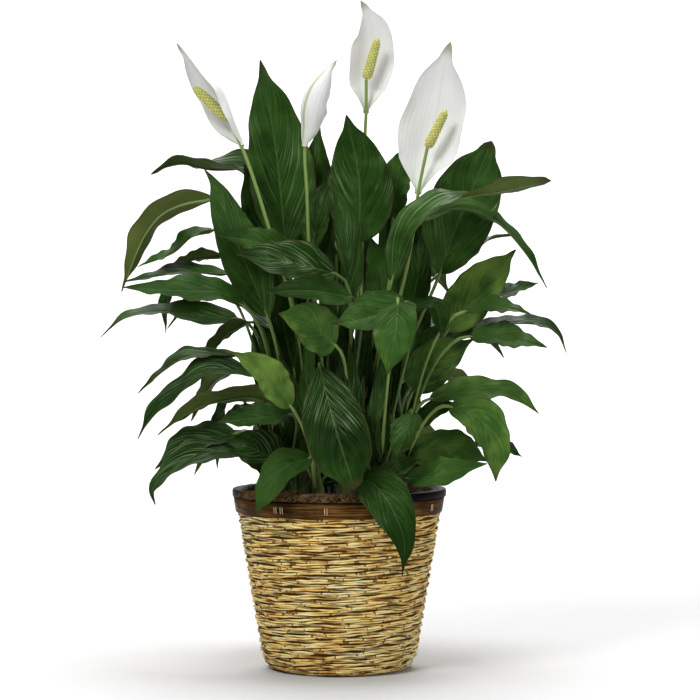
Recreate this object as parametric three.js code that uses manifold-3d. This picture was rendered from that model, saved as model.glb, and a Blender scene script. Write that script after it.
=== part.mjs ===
// A potted peace lily: a woven basket with a plastic grow pot, soil and moss in it,
// and a plant of many leaves and four white flowers.
// Millimetres, +Z up. The origin is the middle of the basket's flat bottom.
import * as THREE from 'three';
import { mergeVertices } from 'three/addons/utils/BufferGeometryUtils.js';
import Module from 'manifold-3d';

const wasm = await Module();
wasm.setup();

// Driving dimensions
const GAP = 0.3;
const TOLERANCE = 0.05;
const BASKET = {
  height: 190,
  floor: 6,
  wall: 6,
  footRadius: 73,
  insideFoot: 77,
  corner: [[79.5, 4.5], [83.5, 11]],
  cornerHeight: 20,
  cornerRadius: 86.5,
  flare: 0.167,
  relief: 1.3,
  rows: 35,
  columns: 32,
  waves: 8,
};
const BAND = { low: 175, high: 192, inset: 1.5, proud: 3 };
const GROW_POT = { wall: 2, footRadius: 75, topRadius: 106.5, lipRadius: 119.5, lipTop: 201, sides: 24 };
const SOIL = { shelf: 188, top: 194 };
const MOSS = {
  innerRadius: 84,
  outerRadius: 101,
  top: 199,
  shoulder: 4,
  lump: 2,
  lumps: [9, 4],
  sides: 24,
};

// The leaf stalks start in a small circle inside the crown, each fan radians from the next.
const CROWN = {
  bottom: 165,
  top: 212,
  footRadius: 8,
  topRadius: 6,
  sides: 6,
  rootDepth: 12,
  rootCircle: 3.2,
  fan: 1.25,
};

// rise, spread and arrival are shares of the stalk's length: how far it runs upright out
// of the crown, how far that leans outward, and how far it runs in line with the blade.
const STALK = { radius: 1.7, steps: 3, rise: 0.45, spread: 0.06, arrival: 0.18 };

// The blade widens as t to the power swell and narrows as 1 - t to the power taper.
// Its edges wave by a share of its width, each leaf and each edge at its own phase.
// Blades from longFrom millimetres on have more steps.
const BLADE = {
  shortSteps: 6,
  longSteps: 8,
  longFrom: 150,
  edgeThickness: 0.9,
  tipHalfWidth: 0.8,
  ribTaper: 0.6,
  swell: 0.62,
  taper: 1.02,
  fold: 13,
  wave: 0.055,
  waves: 2,
  leafPhase: 2.1,
  edgePhase: 1.9,
};

const FLOWER_STALK = {
  radius: 2.2,
  clearance: 1.2,
  foot: 150,
  upright: [0, 25, 50, 75],
  sides: 6,
  steps: 10,
};
const SPATHE = {
  thickness: 0.9,
  steps: 8,
  across: 6,
  tipWidth: 1.6,
  swell: 0.75,
  taper: 0.95,
  claspWrap: 230,
  claspShare: 0.2,
};
const SPADIX = {
  rows: 10,
  columns: 8,
  relief: 0.7,
  slenderness: 8,
  narrowing: 0.25,
  bluntness: 7,
  tipRadius: 1,
};

// Leaves and flowers are laid out as they are seen from here, in front of the plant:
// x and z lie on the upright plane through the pot's axis, and front is how far the
// point stands out of that plane towards the viewer.
const EYE = { x: 12, z: 410, distance: 2800 };

const COLOURS = {
  straw: { color: 0xc9a860, roughness: 0.7 },
  splitWood: { color: 0x5d3d25, roughness: 0.6 },
  blackPlastic: { color: 0x151515, roughness: 0.25 },
  soil: { color: 0x3a2a1e, roughness: 1.0 },
  moss: { color: 0x6b5234, roughness: 1.0 },
  leaf: { color: 0x27491f, roughness: 0.35 },
  stalk: { color: 0x8fb070, roughness: 0.45 },
  spathe: { color: 0xf1f3ec, roughness: 0.5 },
  spadix: { color: 0xd5d68a, roughness: 0.7 },
};

// A crown is the short base of one shoot. x and y are its place in the soil.
// A leaf's blade is a list of [x, z, front] from its base to its tip. Its width is in
// millimetres. turn is how far its upper face is turned up from facing the viewer: at 0
// it is seen full on, at 90 edge-on, and past 90 its underside shows. twist is the
// further turn from base to tip, and fold is the lift of each half above the midrib.
// swell and taper stand in for those of BLADE, for a blade of another outline.
const CROWNS = [
  {
    name: 'crown_tall_left',
    x: -20,
    y: 2,
    leaves: [
      { blade: [[-30, 440, -26], [-27, 530, -24], [-22, 609, -22]], width: 56, turn: 30 },
      { blade: [[-60, 472, -8], [-71, 580, -6], [-88, 678, 2]], width: 80, turn: 18, fold: 18 },
      { blade: [[-31, 466, 10], [-23, 510, 11], [-12, 549, 12]], width: 32, turn: 22 },
      { blade: [[-62, 424, -46], [-86, 500, -52], [-106, 562, -50]], width: 60, turn: 16 },
      {
        blade: [[-64, 557, -94], [-105, 558, -92], [-143, 557, -80], [-181, 563, -66], [-210, 551, -54]],
        width: 60, turn: 84, twist: 110,
      },
    ],
  },
  {
    name: 'crown_tall_middle',
    x: 8,
    y: 2,
    leaves: [
      { blade: [[22, 474, 8], [22, 545, 12], [8, 617, 14]], width: 76, turn: 4, fold: 16 },
      { blade: [[60, 500, -22], [65, 550, -22], [75, 583, -18]], width: 48, turn: 38 },
      { blade: [[12, 410, 36], [8, 480, 42], [-9, 547, 46]], width: 44, turn: 48 },
      { blade: [[50, 400, 0], [46, 440, 0], [34, 482, -2]], width: 42, turn: 22 },
    ],
  },
  {
    name: 'crown_tall_right',
    x: 34,
    y: 4,
    leaves: [
      {
        blade: [[112, 440, -12], [130, 490, -10], [152, 544, -6], [170, 588, 0]],
        width: 84, turn: 8, fold: 22, taper: 0.72,
      },
      {
        blade: [[58, 430, 52], [78, 492, 60], [116, 520, 60], [178, 532, 52], [236, 544, 42]],
        width: 54, turn: 76, twist: 116, taper: 0.6,
      },
      {
        blade: [[92, 500, 22], [134, 514, 22], [174, 500, 18], [208, 464, 10], [232, 424, 0]],
        width: 36, turn: 66,
      },
      { blade: [[80, 398, 4], [88, 440, 6], [92, 486, 6]], width: 38, turn: 20 },
    ],
  },
  {
    name: 'crown_left_upper',
    x: -42,
    y: -14,
    leaves: [
      {
        blade: [[-80, 392, 22], [-104, 450, 30], [-124, 500, 32], [-139, 540, 30], [-150, 556, 28]],
        width: 52, turn: 14,
      },
      { blade: [[-45, 455, 34], [-90, 475, 48], [-137, 483, 60]], width: 46, turn: 52 },
    ],
  },
  {
    name: 'crown_left_back',
    x: -40,
    y: 20,
    leaves: [
      {
        blade: [
          [-140, 524, -10], [-172, 519, -12], [-198, 507, -14],
          [-217, 484, -14], [-230, 455, -12], [-243, 420, -8],
        ],
        width: 42, turn: 128,
      },
      { blade: [[-140, 489, 2], [-165, 483, 4], [-185, 465, 6], [-225, 448, 8]], width: 38, turn: 72 },
      { blade: [[-130, 460, -24], [-165, 456, -28], [-192, 440, -30]], width: 34, turn: 110 },
      { blade: [[-125, 440, 4], [-170, 443, 6], [-241, 431, 8]], width: 36, turn: 68 },
    ],
  },
  {
    name: 'crown_left_middle',
    x: -62,
    y: 2,
    leaves: [
      { blade: [[-107, 404, 54], [-130, 418, 60], [-180, 421, 62], [-241, 425, 60]], width: 48, turn: 55 },
      {
        blade: [[-113, 390, -8], [-165, 394, -12], [-200, 398, -12], [-240, 391, -10], [-267, 369, -6]],
        width: 42, turn: 66, twist: 50,
      },
      { blade: [[-150, 432, -44], [-188, 422, -48], [-194, 374, -48]], width: 30, turn: 60 },
      { blade: [[-103, 386, 14], [-128, 372, 22], [-143, 350, 26], [-155, 316, 28]], width: 34, turn: 112 },
    ],
  },
  {
    name: 'crown_centre_front',
    x: 4,
    y: -34,
    leaves: [
      { blade: [[14, 414, 70], [-33, 421, 112], [-82, 420, 140]], width: 42, turn: 50 },
      { blade: [[-4, 440, 58], [-50, 452, 78], [-115, 462, 102]], width: 54, turn: 36 },
      { blade: [[-4, 360, 92], [-35, 383, 118], [-68, 396, 140]], width: 56, turn: 28 },
    ],
  },
  {
    name: 'crown_left_low',
    x: -68,
    y: -26,
    leaves: [
      {
        blade: [[-114, 349.5, 53], [-171, 347.5, 57], [-194, 334.5, 57], [-225, 306.5, 55]],
        width: 36, turn: 72,
      },
      {
        blade: [
          [-91.5, 326, 68], [-139.5, 335, 78], [-174.5, 314, 80],
          [-204.5, 289, 82], [-225.5, 255, 82],
        ],
        width: 44, turn: 60,
      },
      { blade: [[-79.5, 285.5, 26], [-104.5, 286.5, 28], [-134.5, 277.5, 28]], width: 30, turn: 66 },
      { blade: [[-124.5, 308, 6], [-132.5, 279, 6], [-136.5, 223, 6]], width: 28, turn: 60 },
    ],
  },
  {
    name: 'crown_left_lowest',
    x: -52,
    y: -50,
    leaves: [
      {
        blade: [[-75, 292, 62], [-97, 303, 72], [-140, 297, 84], [-165, 288, 88], [-203, 260, 90]],
        width: 42, turn: 115,
      },
      { blade: [[-55, 283, 92], [-100, 278, 102], [-137, 274, 110]], width: 40, turn: 55 },
      { blade: [[-115, 262, 66], [-165, 252, 72], [-206, 222, 74]], width: 46, turn: 50 },
      { blade: [[-100, 240, 86], [-160, 238, 96], [-208, 200, 98], [-206, 182, 98]], width: 44, turn: 55 },
      { blade: [[-62, 226, 78], [-95, 244, 88], [-127, 254, 96]], width: 50, turn: 25 },
    ],
  },
  {
    name: 'crown_front_left',
    x: -22,
    y: -64,
    leaves: [
      { blade: [[-53.5, 291, 109], [-86.5, 332, 129], [-119.5, 353, 141]], width: 42, turn: 34 },
      { blade: [[-31, 235, 97], [-63, 223, 113], [-94, 171, 119]], width: 40, turn: 28 },
    ],
  },
  {
    name: 'crown_front',
    x: 10,
    y: -66,
    leaves: [
      {
        blade: [[-22.5, 338.5, 96], [-4.5, 268.5, 128], [17.5, 198.5, 136]],
        width: 74, turn: 0, fold: 24, swell: 0.9, taper: 0.62,
      },
      {
        blade: [
          [20.5, 208.5, 90], [36.5, 206.5, 108], [58.5, 178.5, 130],
          [72.5, 140.5, 136], [70.5, 102.5, 134],
        ],
        width: 52, turn: 10, taper: 1.35,
      },
    ],
  },
  {
    name: 'crown_front_right',
    x: 42,
    y: -54,
    leaves: [
      { blade: [[43.5, 211, 77], [64.5, 221, 85], [91.5, 233, 93]], width: 34, turn: 52 },
      { blade: [[81.5, 285.5, 83], [74.5, 261.5, 97], [61.5, 231.5, 105]], width: 38, turn: 40 },
      { blade: [[65.5, 409, 124], [62.5, 371, 148], [53.5, 327, 154]], width: 50, turn: 20 },
      { blade: [[75.5, 409, 64], [35.5, 392, 92], [-6.5, 384, 114]], width: 56, turn: 36 },
    ],
  },
  {
    name: 'crown_right_low',
    x: 68,
    y: -28,
    leaves: [
      { blade: [[80, 232, 40], [120, 246, 44], [168, 230, 48]], width: 48, turn: 42 },
      { blade: [[75, 211, 72], [105, 214, 84], [165, 228, 98]], width: 42, turn: 50 },
      { blade: [[122, 292, 66], [155, 280, 74], [172, 250, 80], [175, 208, 82]], width: 50, turn: 28 },
      { blade: [[74, 398, 34], [106, 403, 44], [115, 368, 50]], width: 36, turn: 52 },
      { blade: [[140, 398, 20], [180, 403, 24], [214, 395, 26]], width: 36, turn: 62 },
      {
        blade: [[100, 300, 24], [150, 309, 28], [190, 307, 30], [207, 298, 30], [223, 284, 30]],
        width: 44, turn: 54,
      },
    ],
  },
  {
    name: 'crown_right_middle',
    x: 62,
    y: 4,
    leaves: [
      { blade: [[78, 310, 0], [110, 343, 0], [150, 367, 2]], width: 52, turn: 16, twist: 40 },
      { blade: [[145, 370, 30], [190, 368, 34], [232, 358, 36]], width: 44, turn: 54 },
      { blade: [[150, 250, 0], [178, 248, 0], [204, 236, 2]], width: 34, turn: 62 },
    ],
  },
  {
    name: 'crown_right_upper',
    x: 52,
    y: 26,
    leaves: [
      { blade: [[120, 375, -12], [150, 415, -14], [197, 467, -12]], width: 56, turn: 20 },
      {
        blade: [[112, 440, -32], [145, 458, -34], [165, 478, -34], [203, 484, -30]],
        width: 30, turn: 70, twist: 60,
      },
      { blade: [[165, 415, -34], [195, 421, -36], [222, 430, -36]], width: 34, turn: 62 },
      { blade: [[145, 378, -40], [200, 386, -42], [240, 378, -40], [254, 352, -36]], width: 34, turn: 70 },
    ],
  },
  {
    name: 'crown_back_left',
    x: -34,
    y: 52,
    leaves: [
      { azimuth: 152, arch: [[90, 380], [140, 412], [190, 410], [226, 378]], width: 50 },
      { azimuth: 138, arch: [[80, 300], [136, 332], [194, 318], [236, 268]], width: 50 },
      { azimuth: 146, arch: [[84, 232], [130, 256], [172, 248], [204, 208]], width: 46 },
      { azimuth: 122, arch: [[62, 420], [106, 472], [160, 486], [208, 456]], width: 56 },
      { azimuth: 116, arch: [[84, 240], [136, 272], [190, 262], [232, 214]], width: 52 },
      { blade: [[-50, 268, -59], [-70, 330, -65], [-96, 396, -67]], width: 58, turn: 6 },
    ],
  },
  {
    name: 'crown_back',
    x: 4,
    y: 60,
    leaves: [
      { azimuth: 84, arch: [[70, 288], [122, 324], [182, 318], [234, 264]], width: 56 },
      { blade: [[-6, 292, -70], [-11, 350, -84], [-17, 414, -90]], width: 66, turn: 8 },
      { blade: [[34, 310, -74], [44, 360, -84], [52, 414, -88]], width: 54, turn: 10 },
      { azimuth: 96, arch: [[40, 470], [66, 532], [106, 566], [150, 554]], width: 58 },
      { azimuth: 72, arch: [[56, 410], [100, 458], [154, 468], [202, 430]], width: 54 },
    ],
  },
  {
    name: 'crown_back_right',
    x: 42,
    y: 50,
    leaves: [
      { azimuth: 30, arch: [[90, 360], [136, 388], [184, 380], [220, 344]], width: 50 },
      { azimuth: 46, arch: [[80, 300], [132, 332], [190, 322], [236, 274]], width: 52 },
      { azimuth: 60, arch: [[84, 236], [134, 262], [186, 252], [226, 200]], width: 50 },
      { azimuth: 52, arch: [[60, 400], [104, 448], [160, 458], [210, 418]], width: 54 },
      { blade: [[50, 226, -38], [66, 276, -42], [86, 330, -42]], width: 56, turn: 6 },
    ],
  },
];

// A flower's stalk runs up from its place in the soil through its way points to the
// spadix. Its spathe opens towards facing, and wraps round by the angle wrap, in degrees.
const FLOWERS = [
  {
    name: 'flower_left',
    root: [-31, -2],
    way: [[-52, 400, 30], [-80, 496, 26], [-98, 553, 24]],
    spatheBase: [-109, 582, 22],
    spadix: [[-124, 612, 22], [-162, 648, 30]],
    spathe: [[-119, 610, 14], [-131, 640, 12], [-152, 668, 16], [-168, 684, 20], [-181, 697, 22]],
    facing: [-0.78, -0.5, -0.3],
    width: 60,
    wrap: 170,
  },
  {
    name: 'flower_closed',
    root: [-8, -14],
    way: [[-26, 400, 18], [-33, 460, 26], [-36, 530, 28]],
    spatheBase: [-38, 583, 26],
    spadix: [[-31, 610, 28], [-23, 642, 28]],
    spathe: [[-41, 598, 26], [-42, 624, 26], [-34, 648, 26], [-19, 665, 26], [-3, 678, 26]],
    facing: [0.9, -0.35, -0.25],
    width: 70,
    wrap: 280,
  },
  {
    name: 'flower_top',
    root: [22, 26],
    way: [[26, 480, -34], [28, 560, -26], [29, 600, -20]],
    spatheBase: [30, 620, -18],
    spadix: [[30, 656, -14], [43, 702, -8]],
    spathe: [[31, 642, -26], [35, 675, -30], [38, 705, -28], [32, 728, -22], [24, 744, -16]],
    facing: [0.1, -1, 0.1],
    width: 54,
    wrap: 80,
  },
  {
    name: 'flower_right',
    root: [56, -8],
    way: [[66, 400, 24], [76, 450, 28], [83, 490, 28]],
    spatheBase: [88, 530, 26],
    spadix: [[98, 580, 26], [119, 622, 32]],
    spathe: [[93, 560, 10], [104, 600, 4], [112, 640, 4], [117, 672, 10], [124, 698, 18]],
    facing: [-0.1, -1, 0.1],
    width: 78,
    wrap: 90,
  },
];

function seen([x, z, front]) {
  const towardsEye = (EYE.distance - front) / EYE.distance;
  return new THREE.Vector3(EYE.x + (x - EYE.x) * towardsEye, -front, EYE.z + (z - EYE.z) * towardsEye);
}

function around(degrees, radius, z) {
  const angle = THREE.MathUtils.degToRad(degrees);
  return new THREE.Vector3(radius * Math.cos(angle), radius * Math.sin(angle), z);
}

function solidFrom(geometry) {
  const bare = geometry.clone();
  bare.deleteAttribute('normal');
  bare.deleteAttribute('uv');
  const merged = mergeVertices(bare, 1e-4);
  return new wasm.Manifold(new wasm.Mesh({
    numProp: 3,
    vertProperties: new Float32Array(merged.attributes.position.array),
    triVerts: new Uint32Array(merged.index.array),
  }));
}

function geometryFrom(solid) {
  const mesh = solid.getMesh();
  const geometry = new THREE.BufferGeometry();
  geometry.setAttribute('position', new THREE.Float32BufferAttribute(mesh.vertProperties, 3));
  geometry.setIndex(new THREE.Uint32BufferAttribute(mesh.triVerts, 1));
  geometry.computeVertexNormals();
  return geometry;
}

function meshOf(name, geometry, colour) {
  const material = new THREE.MeshStandardMaterial({ ...COLOURS[colour], metalness: 0 });
  const mesh = new THREE.Mesh(geometry, material);
  mesh.name = name;
  return mesh;
}

// Rings of points, each running anticlockwise about the way from the first ring to the
// last, are joined side by side and closed with a cap at each end. A ring holds an upper
// face and then a lower face, and both are split along the same diagonals.
function loft(rings) {
  const size = rings[0].length;
  const positions = rings.flat().flatMap((point) => [point.x, point.y, point.z]);
  const index = [];
  for (let ring = 0; ring + 1 < rings.length; ring += 1) {
    for (let side = 0; side < size; side += 1) {
      const a = ring * size + side;
      const b = ring * size + ((side + 1) % size);
      const upper = side < size / 2;
      index.push(...(upper ? [a, b, a + size] : [a, b, b + size]));
      index.push(...(upper ? [b, b + size, a + size] : [a, b + size, a + size]));
    }
  }
  const last = (rings.length - 1) * size;
  const half = size / 2;
  for (let side = 0; side + 1 < half; side += 1) {
    const across = size - 1 - side;
    index.push(side, across, across - 1);
    index.push(side, across - 1, side + 1);
    index.push(last + side, last + across - 1, last + across);
    index.push(last + side, last + side + 1, last + across - 1);
  }
  const geometry = new THREE.BufferGeometry();
  geometry.setAttribute('position', new THREE.Float32BufferAttribute(positions, 3));
  geometry.setIndex(index);
  return geometry;
}

// A turned body whose outside is raised by relief(row, column).
function reliefBody(outline, columns, relief) {
  const positions = [];
  const index = [];
  outline.forEach(([radius, z], row) => {
    for (let column = 0; column < columns; column += 1) {
      const angle = (2 * Math.PI * column) / columns;
      const raised = radius + relief(row, column);
      positions.push(raised * Math.cos(angle), raised * Math.sin(angle), z);
    }
  });
  for (let row = 0; row + 1 < outline.length; row += 1) {
    for (let column = 0; column < columns; column += 1) {
      const a = row * columns + column;
      const b = row * columns + ((column + 1) % columns);
      index.push(a, b, b + columns, a, b + columns, a + columns);
    }
  }
  const foot = positions.length / 3;
  positions.push(0, 0, outline[0][1], 0, 0, outline.at(-1)[1]);
  const top = (outline.length - 1) * columns;
  for (let column = 0; column < columns; column += 1) {
    const next = (column + 1) % columns;
    index.push(foot, next, column);
    index.push(foot + 1, top + column, top + next);
  }
  const geometry = new THREE.BufferGeometry();
  geometry.setAttribute('position', new THREE.Float32BufferAttribute(positions, 3));
  geometry.setIndex(index);
  return geometry;
}

function turned(outline, sides) {
  const points = outline.map(([radius, z]) => new THREE.Vector2(radius, z));
  return new THREE.LatheGeometry(points, sides).rotateX(Math.PI / 2);
}

// Basket
function wallRadius(z) {
  return BASKET.cornerRadius + (z - BASKET.cornerHeight) * BASKET.flare;
}

function basketGeometry() {
  const bottom = [[BASKET.footRadius, 0], ...BASKET.corner];
  const woven = [];
  const rowHeight = (BAND.low - BASKET.cornerHeight) / BASKET.rows;
  for (let row = 0; row < BASKET.rows; row += 1) {
    const z = BASKET.cornerHeight + (row + 0.5) * rowHeight;
    woven.push([wallRadius(z), z]);
  }
  const underBand = [BAND.low - BASKET.relief, BASKET.height].map((z) => [wallRadius(z) - BAND.inset, z]);
  const body = reliefBody([...bottom, ...woven, ...underBand], BASKET.columns, (row, column) => {
    const isWoven = row >= bottom.length && row < bottom.length + woven.length;
    const angle = (2 * Math.PI * column) / BASKET.columns;
    return isWoven ? BASKET.relief * Math.cos(BASKET.waves * angle + Math.PI * (row - bottom.length)) : 0;
  });
  const above = BASKET.height + BASKET.wall;
  const hollow = turned([
    [0, BASKET.floor],
    [BASKET.insideFoot, BASKET.floor],
    [wallRadius(above) - BASKET.wall, above],
    [0, above],
  ], BASKET.columns);
  return geometryFrom(solidFrom(body).subtract(solidFrom(hollow)));
}

function bandGeometry() {
  const inner = (z) => wallRadius(z) - BAND.inset + GAP;
  const outer = (z) => wallRadius(z) + BAND.proud;
  return turned([
    [inner(BAND.low), BAND.low],
    [outer(BAND.low), BAND.low],
    [outer(BAND.high), BAND.high],
    [inner(BAND.high), BAND.high],
    [inner(BAND.low), BAND.low],
  ], BASKET.columns);
}

// Grow pot, soil and moss
const potFoot = BASKET.floor + GAP;
const potSkirt = BAND.high + GAP;

function growPotGeometry() {
  const { wall, footRadius, topRadius, lipRadius, lipTop, sides } = GROW_POT;
  return turned([
    [0, potFoot],
    [footRadius, potFoot],
    [topRadius, potSkirt],
    [topRadius, lipTop - wall],
    [lipRadius - wall, lipTop - wall],
    [lipRadius - wall, potSkirt],
    [lipRadius, potSkirt],
    [lipRadius, lipTop - wall / 2],
    [lipRadius - wall, lipTop],
    [topRadius - wall, lipTop],
    [topRadius - wall, potSkirt],
    [footRadius - wall, potFoot + wall],
    [0, potFoot + wall],
  ], sides);
}

function potInside(z) {
  const { wall, footRadius, topRadius } = GROW_POT;
  const share = (z - potFoot) / (potSkirt - potFoot);
  return footRadius - wall + share * (topRadius - footRadius) - 2 * GAP;
}

// The crowns and the flower stalks stand in plain round holes in the soil.
function soilHoles() {
  const hole = (x, y, radius, foot) => solidFrom(
    new THREE.CylinderGeometry(radius, radius, CROWN.top - foot, CROWN.sides)
      .rotateX(Math.PI / 2)
      .translate(x, y, (CROWN.top + foot) / 2),
  );
  const forCrowns = CROWNS.map(({ x, y }) => hole(x, y, CROWN.footRadius + GAP, CROWN.bottom - GAP));
  const forStalks = FLOWERS.map(({ root: [x, y] }) => (
    hole(x, y, FLOWER_STALK.radius + FLOWER_STALK.clearance, FLOWER_STALK.foot - GAP)
  ));
  return wasm.Manifold.union([...forCrowns, ...forStalks]);
}

function soilGeometry() {
  const low = potFoot + GROW_POT.wall + GAP;
  const bedRadius = MOSS.innerRadius - GAP;
  const body = turned([
    [0, low],
    [potInside(low), low],
    [potInside(SOIL.shelf), SOIL.shelf],
    [bedRadius, SOIL.shelf],
    [bedRadius, SOIL.top],
    [0, SOIL.top],
  ], MOSS.sides);
  return geometryFrom(solidFrom(body).subtract(soilHoles()));
}

function mossGeometry() {
  const { innerRadius, outerRadius, top, shoulder, lump, lumps, sides } = MOSS;
  const crest = (innerRadius + outerRadius) / 2;
  const foot = SOIL.shelf + GAP;
  const ring = turned([
    [innerRadius, foot],
    [outerRadius, foot],
    [outerRadius, top - shoulder],
    [crest, top],
    [innerRadius, top - shoulder],
    [innerRadius, foot],
  ], sides);
  const place = ring.attributes.position;
  for (let i = 0; i < place.count; i += 1) {
    if (place.getZ(i) > foot + GAP) {
      const angle = Math.atan2(place.getY(i), place.getX(i));
      place.setZ(i, place.getZ(i) + lump * Math.sin(lumps[0] * angle) * Math.cos(lumps[1] * angle));
    }
  }
  return ring;
}

// Leaves
function leafPath(leaf) {
  if (leaf.arch) {
    return leaf.arch.map(([radius, z]) => around(leaf.azimuth, radius, z));
  }
  return leaf.blade.map(seen);
}

// The direction across the blade, from its left edge to its right edge seen from above.
function leafAcross(leaf) {
  if (leaf.arch) {
    return around(leaf.azimuth - 90, 1, 0);
  }
  const [baseX, baseZ] = leaf.blade[0];
  const [tipX, tipZ] = leaf.blade.at(-1);
  const right = new THREE.Vector3(tipZ - baseZ, 0, baseX - tipX).normalize();
  const turn = THREE.MathUtils.degToRad(leaf.turn) * (tipX < baseX ? -1 : 1);
  return right.multiplyScalar(Math.cos(turn)).add(new THREE.Vector3(0, -Math.sin(turn), 0));
}

// A stalk leaves the crown upright and runs into the blade's own direction.
function stalkCurve(crown, base, direction, fan) {
  const outward = new THREE.Vector3(base.x - crown.x, base.y - crown.y, 0).normalize();
  const root = outward.clone().applyAxisAngle(new THREE.Vector3(0, 0, 1), fan);
  const start = new THREE.Vector3(crown.x, crown.y, CROWN.top - CROWN.rootDepth)
    .addScaledVector(root, CROWN.rootCircle);
  const length = start.distanceTo(base);
  const rise = start.clone()
    .add(new THREE.Vector3(0, 0, length * STALK.rise))
    .addScaledVector(outward, length * STALK.spread);
  const arrival = base.clone().addScaledVector(direction, -length * STALK.arrival);
  return new THREE.CubicBezierCurve3(start, rise, arrival, base);
}

function turnAlong(across, from, to) {
  return across.clone().applyQuaternion(new THREE.Quaternion().setFromUnitVectors(from, to));
}

// Frames carried along a path without twisting, from the one at index middle.
function carriedFrames(tangents, middle, across) {
  const sides = [];
  const lean = across.dot(tangents[middle]);
  sides[middle] = across.clone().addScaledVector(tangents[middle], -lean).normalize();
  for (let i = middle + 1; i < tangents.length; i += 1) {
    sides[i] = turnAlong(sides[i - 1], tangents[i - 1], tangents[i]);
  }
  for (let i = middle - 1; i >= 0; i -= 1) {
    sides[i] = turnAlong(sides[i + 1], tangents[i + 1], tangents[i]);
  }
  return sides;
}

// The width of a blade or spathe at t, from base 0 to tip 1, as a share of its widest.
function widthShare(t, { swell, taper }) {
  const widest = swell / (swell + taper);
  const shape = (at) => at ** swell * (1 - at) ** taper;
  return shape(t) / shape(widest);
}

function leafRing(centre, side, up, half, lifts, ribBelow) {
  const edge = BLADE.edgeThickness / 2;
  const at = (across, lift) => centre.clone().addScaledVector(side, across).addScaledVector(up, lift);
  return [
    at(-half, lifts[0] + edge),
    at(0, edge),
    at(half, lifts[1] + edge),
    at(half, lifts[1] - edge),
    at(0, -ribBelow),
    at(-half, lifts[0] - edge),
  ];
}

function leafGeometry(leaf, crown, order) {
  const path = leafPath(leaf);
  const blade = new THREE.CatmullRomCurve3(path, false, 'centripetal');
  const fan = CROWN.fan * (order - (crown.leaves.length - 1) / 2);
  const stalk = stalkCurve(crown, blade.getPointAt(0), blade.getTangentAt(0), fan);
  const stalkShares = Array.from({ length: STALK.steps }, (_, i) => i / STALK.steps);
  const steps = blade.getLength() < BLADE.longFrom ? BLADE.shortSteps : BLADE.longSteps;
  const bladeShares = Array.from({ length: steps + 1 }, (_, i) => i / steps);
  const along = (method) => [
    ...stalkShares.map((t) => stalk[method](t)),
    ...bladeShares.map((t) => blade[method](t)),
  ];
  const centres = along('getPointAt');
  const tangents = along('getTangentAt');
  const sides = carriedFrames(tangents, STALK.steps + steps / 2, leafAcross(leaf));
  const fold = THREE.MathUtils.degToRad(leaf.fold ?? BLADE.fold);
  const twist = THREE.MathUtils.degToRad(leaf.twist ?? 0) * (path.at(-1).x < path[0].x ? 1 : -1);
  const stalkRings = stalkShares.map((_, i) => {
    const up = sides[i].clone().cross(tangents[i]).normalize();
    return leafRing(centres[i], sides[i], up, STALK.radius, [0, 0], STALK.radius);
  });
  const bladeRings = bladeShares.map((t, step) => {
    const i = STALK.steps + step;
    const side = sides[i].clone().applyAxisAngle(tangents[i], twist * (t - 0.5));
    const up = side.clone().cross(tangents[i]).normalize();
    const rib = STALK.radius * (1 - BLADE.ribTaper * t);
    const share = widthShare(t, { ...BLADE, ...leaf });
    const half = Math.max(BLADE.tipHalfWidth, rib * (1 - t), (leaf.width / 2) * share);
    const swing = leaf.width * BLADE.wave * Math.sin(Math.PI * t);
    const lifts = [0, BLADE.edgePhase].map((edgePhase) => {
      const phase = 2 * Math.PI * BLADE.waves * t + BLADE.leafPhase * order + edgePhase;
      return half * Math.sin(fold) + swing * Math.sin(phase);
    });
    return leafRing(centres[i], side, up, half * Math.cos(fold), lifts, rib);
  });
  return loft([...stalkRings, ...bladeRings]);
}

function crownGeometry(crown) {
  const height = CROWN.top - CROWN.bottom;
  const stub = new THREE.CylinderGeometry(CROWN.topRadius, CROWN.footRadius, height, CROWN.sides)
    .rotateX(Math.PI / 2)
    .translate(crown.x, crown.y, CROWN.bottom + height / 2);
  const leaves = crown.leaves.map((leaf, order) => solidFrom(leafGeometry(leaf, crown, order)));
  return geometryFrom(wasm.Manifold.union([solidFrom(stub), ...leaves]).simplify(TOLERANCE));
}

// Flowers
function flowerStalkCurve(flower) {
  const [x, y] = flower.root;
  const upright = FLOWER_STALK.upright.map((rise) => new THREE.Vector3(x, y, FLOWER_STALK.foot + rise));
  const way = [...flower.way, flower.spatheBase, flower.spadix[0]].map(seen);
  return new THREE.CatmullRomCurve3([...upright, ...way], false, 'centripetal');
}

function flowerStalkGeometry(flower) {
  const { radius, sides, steps } = FLOWER_STALK;
  const corners = Array.from({ length: sides }, (_, i) => {
    const angle = (2 * Math.PI * i) / sides;
    return new THREE.Vector2(radius * Math.cos(angle), radius * Math.sin(angle));
  });
  return new THREE.ExtrudeGeometry(new THREE.Shape(corners), {
    steps,
    bevelEnabled: false,
    extrudePath: flowerStalkCurve(flower),
  });
}

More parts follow.
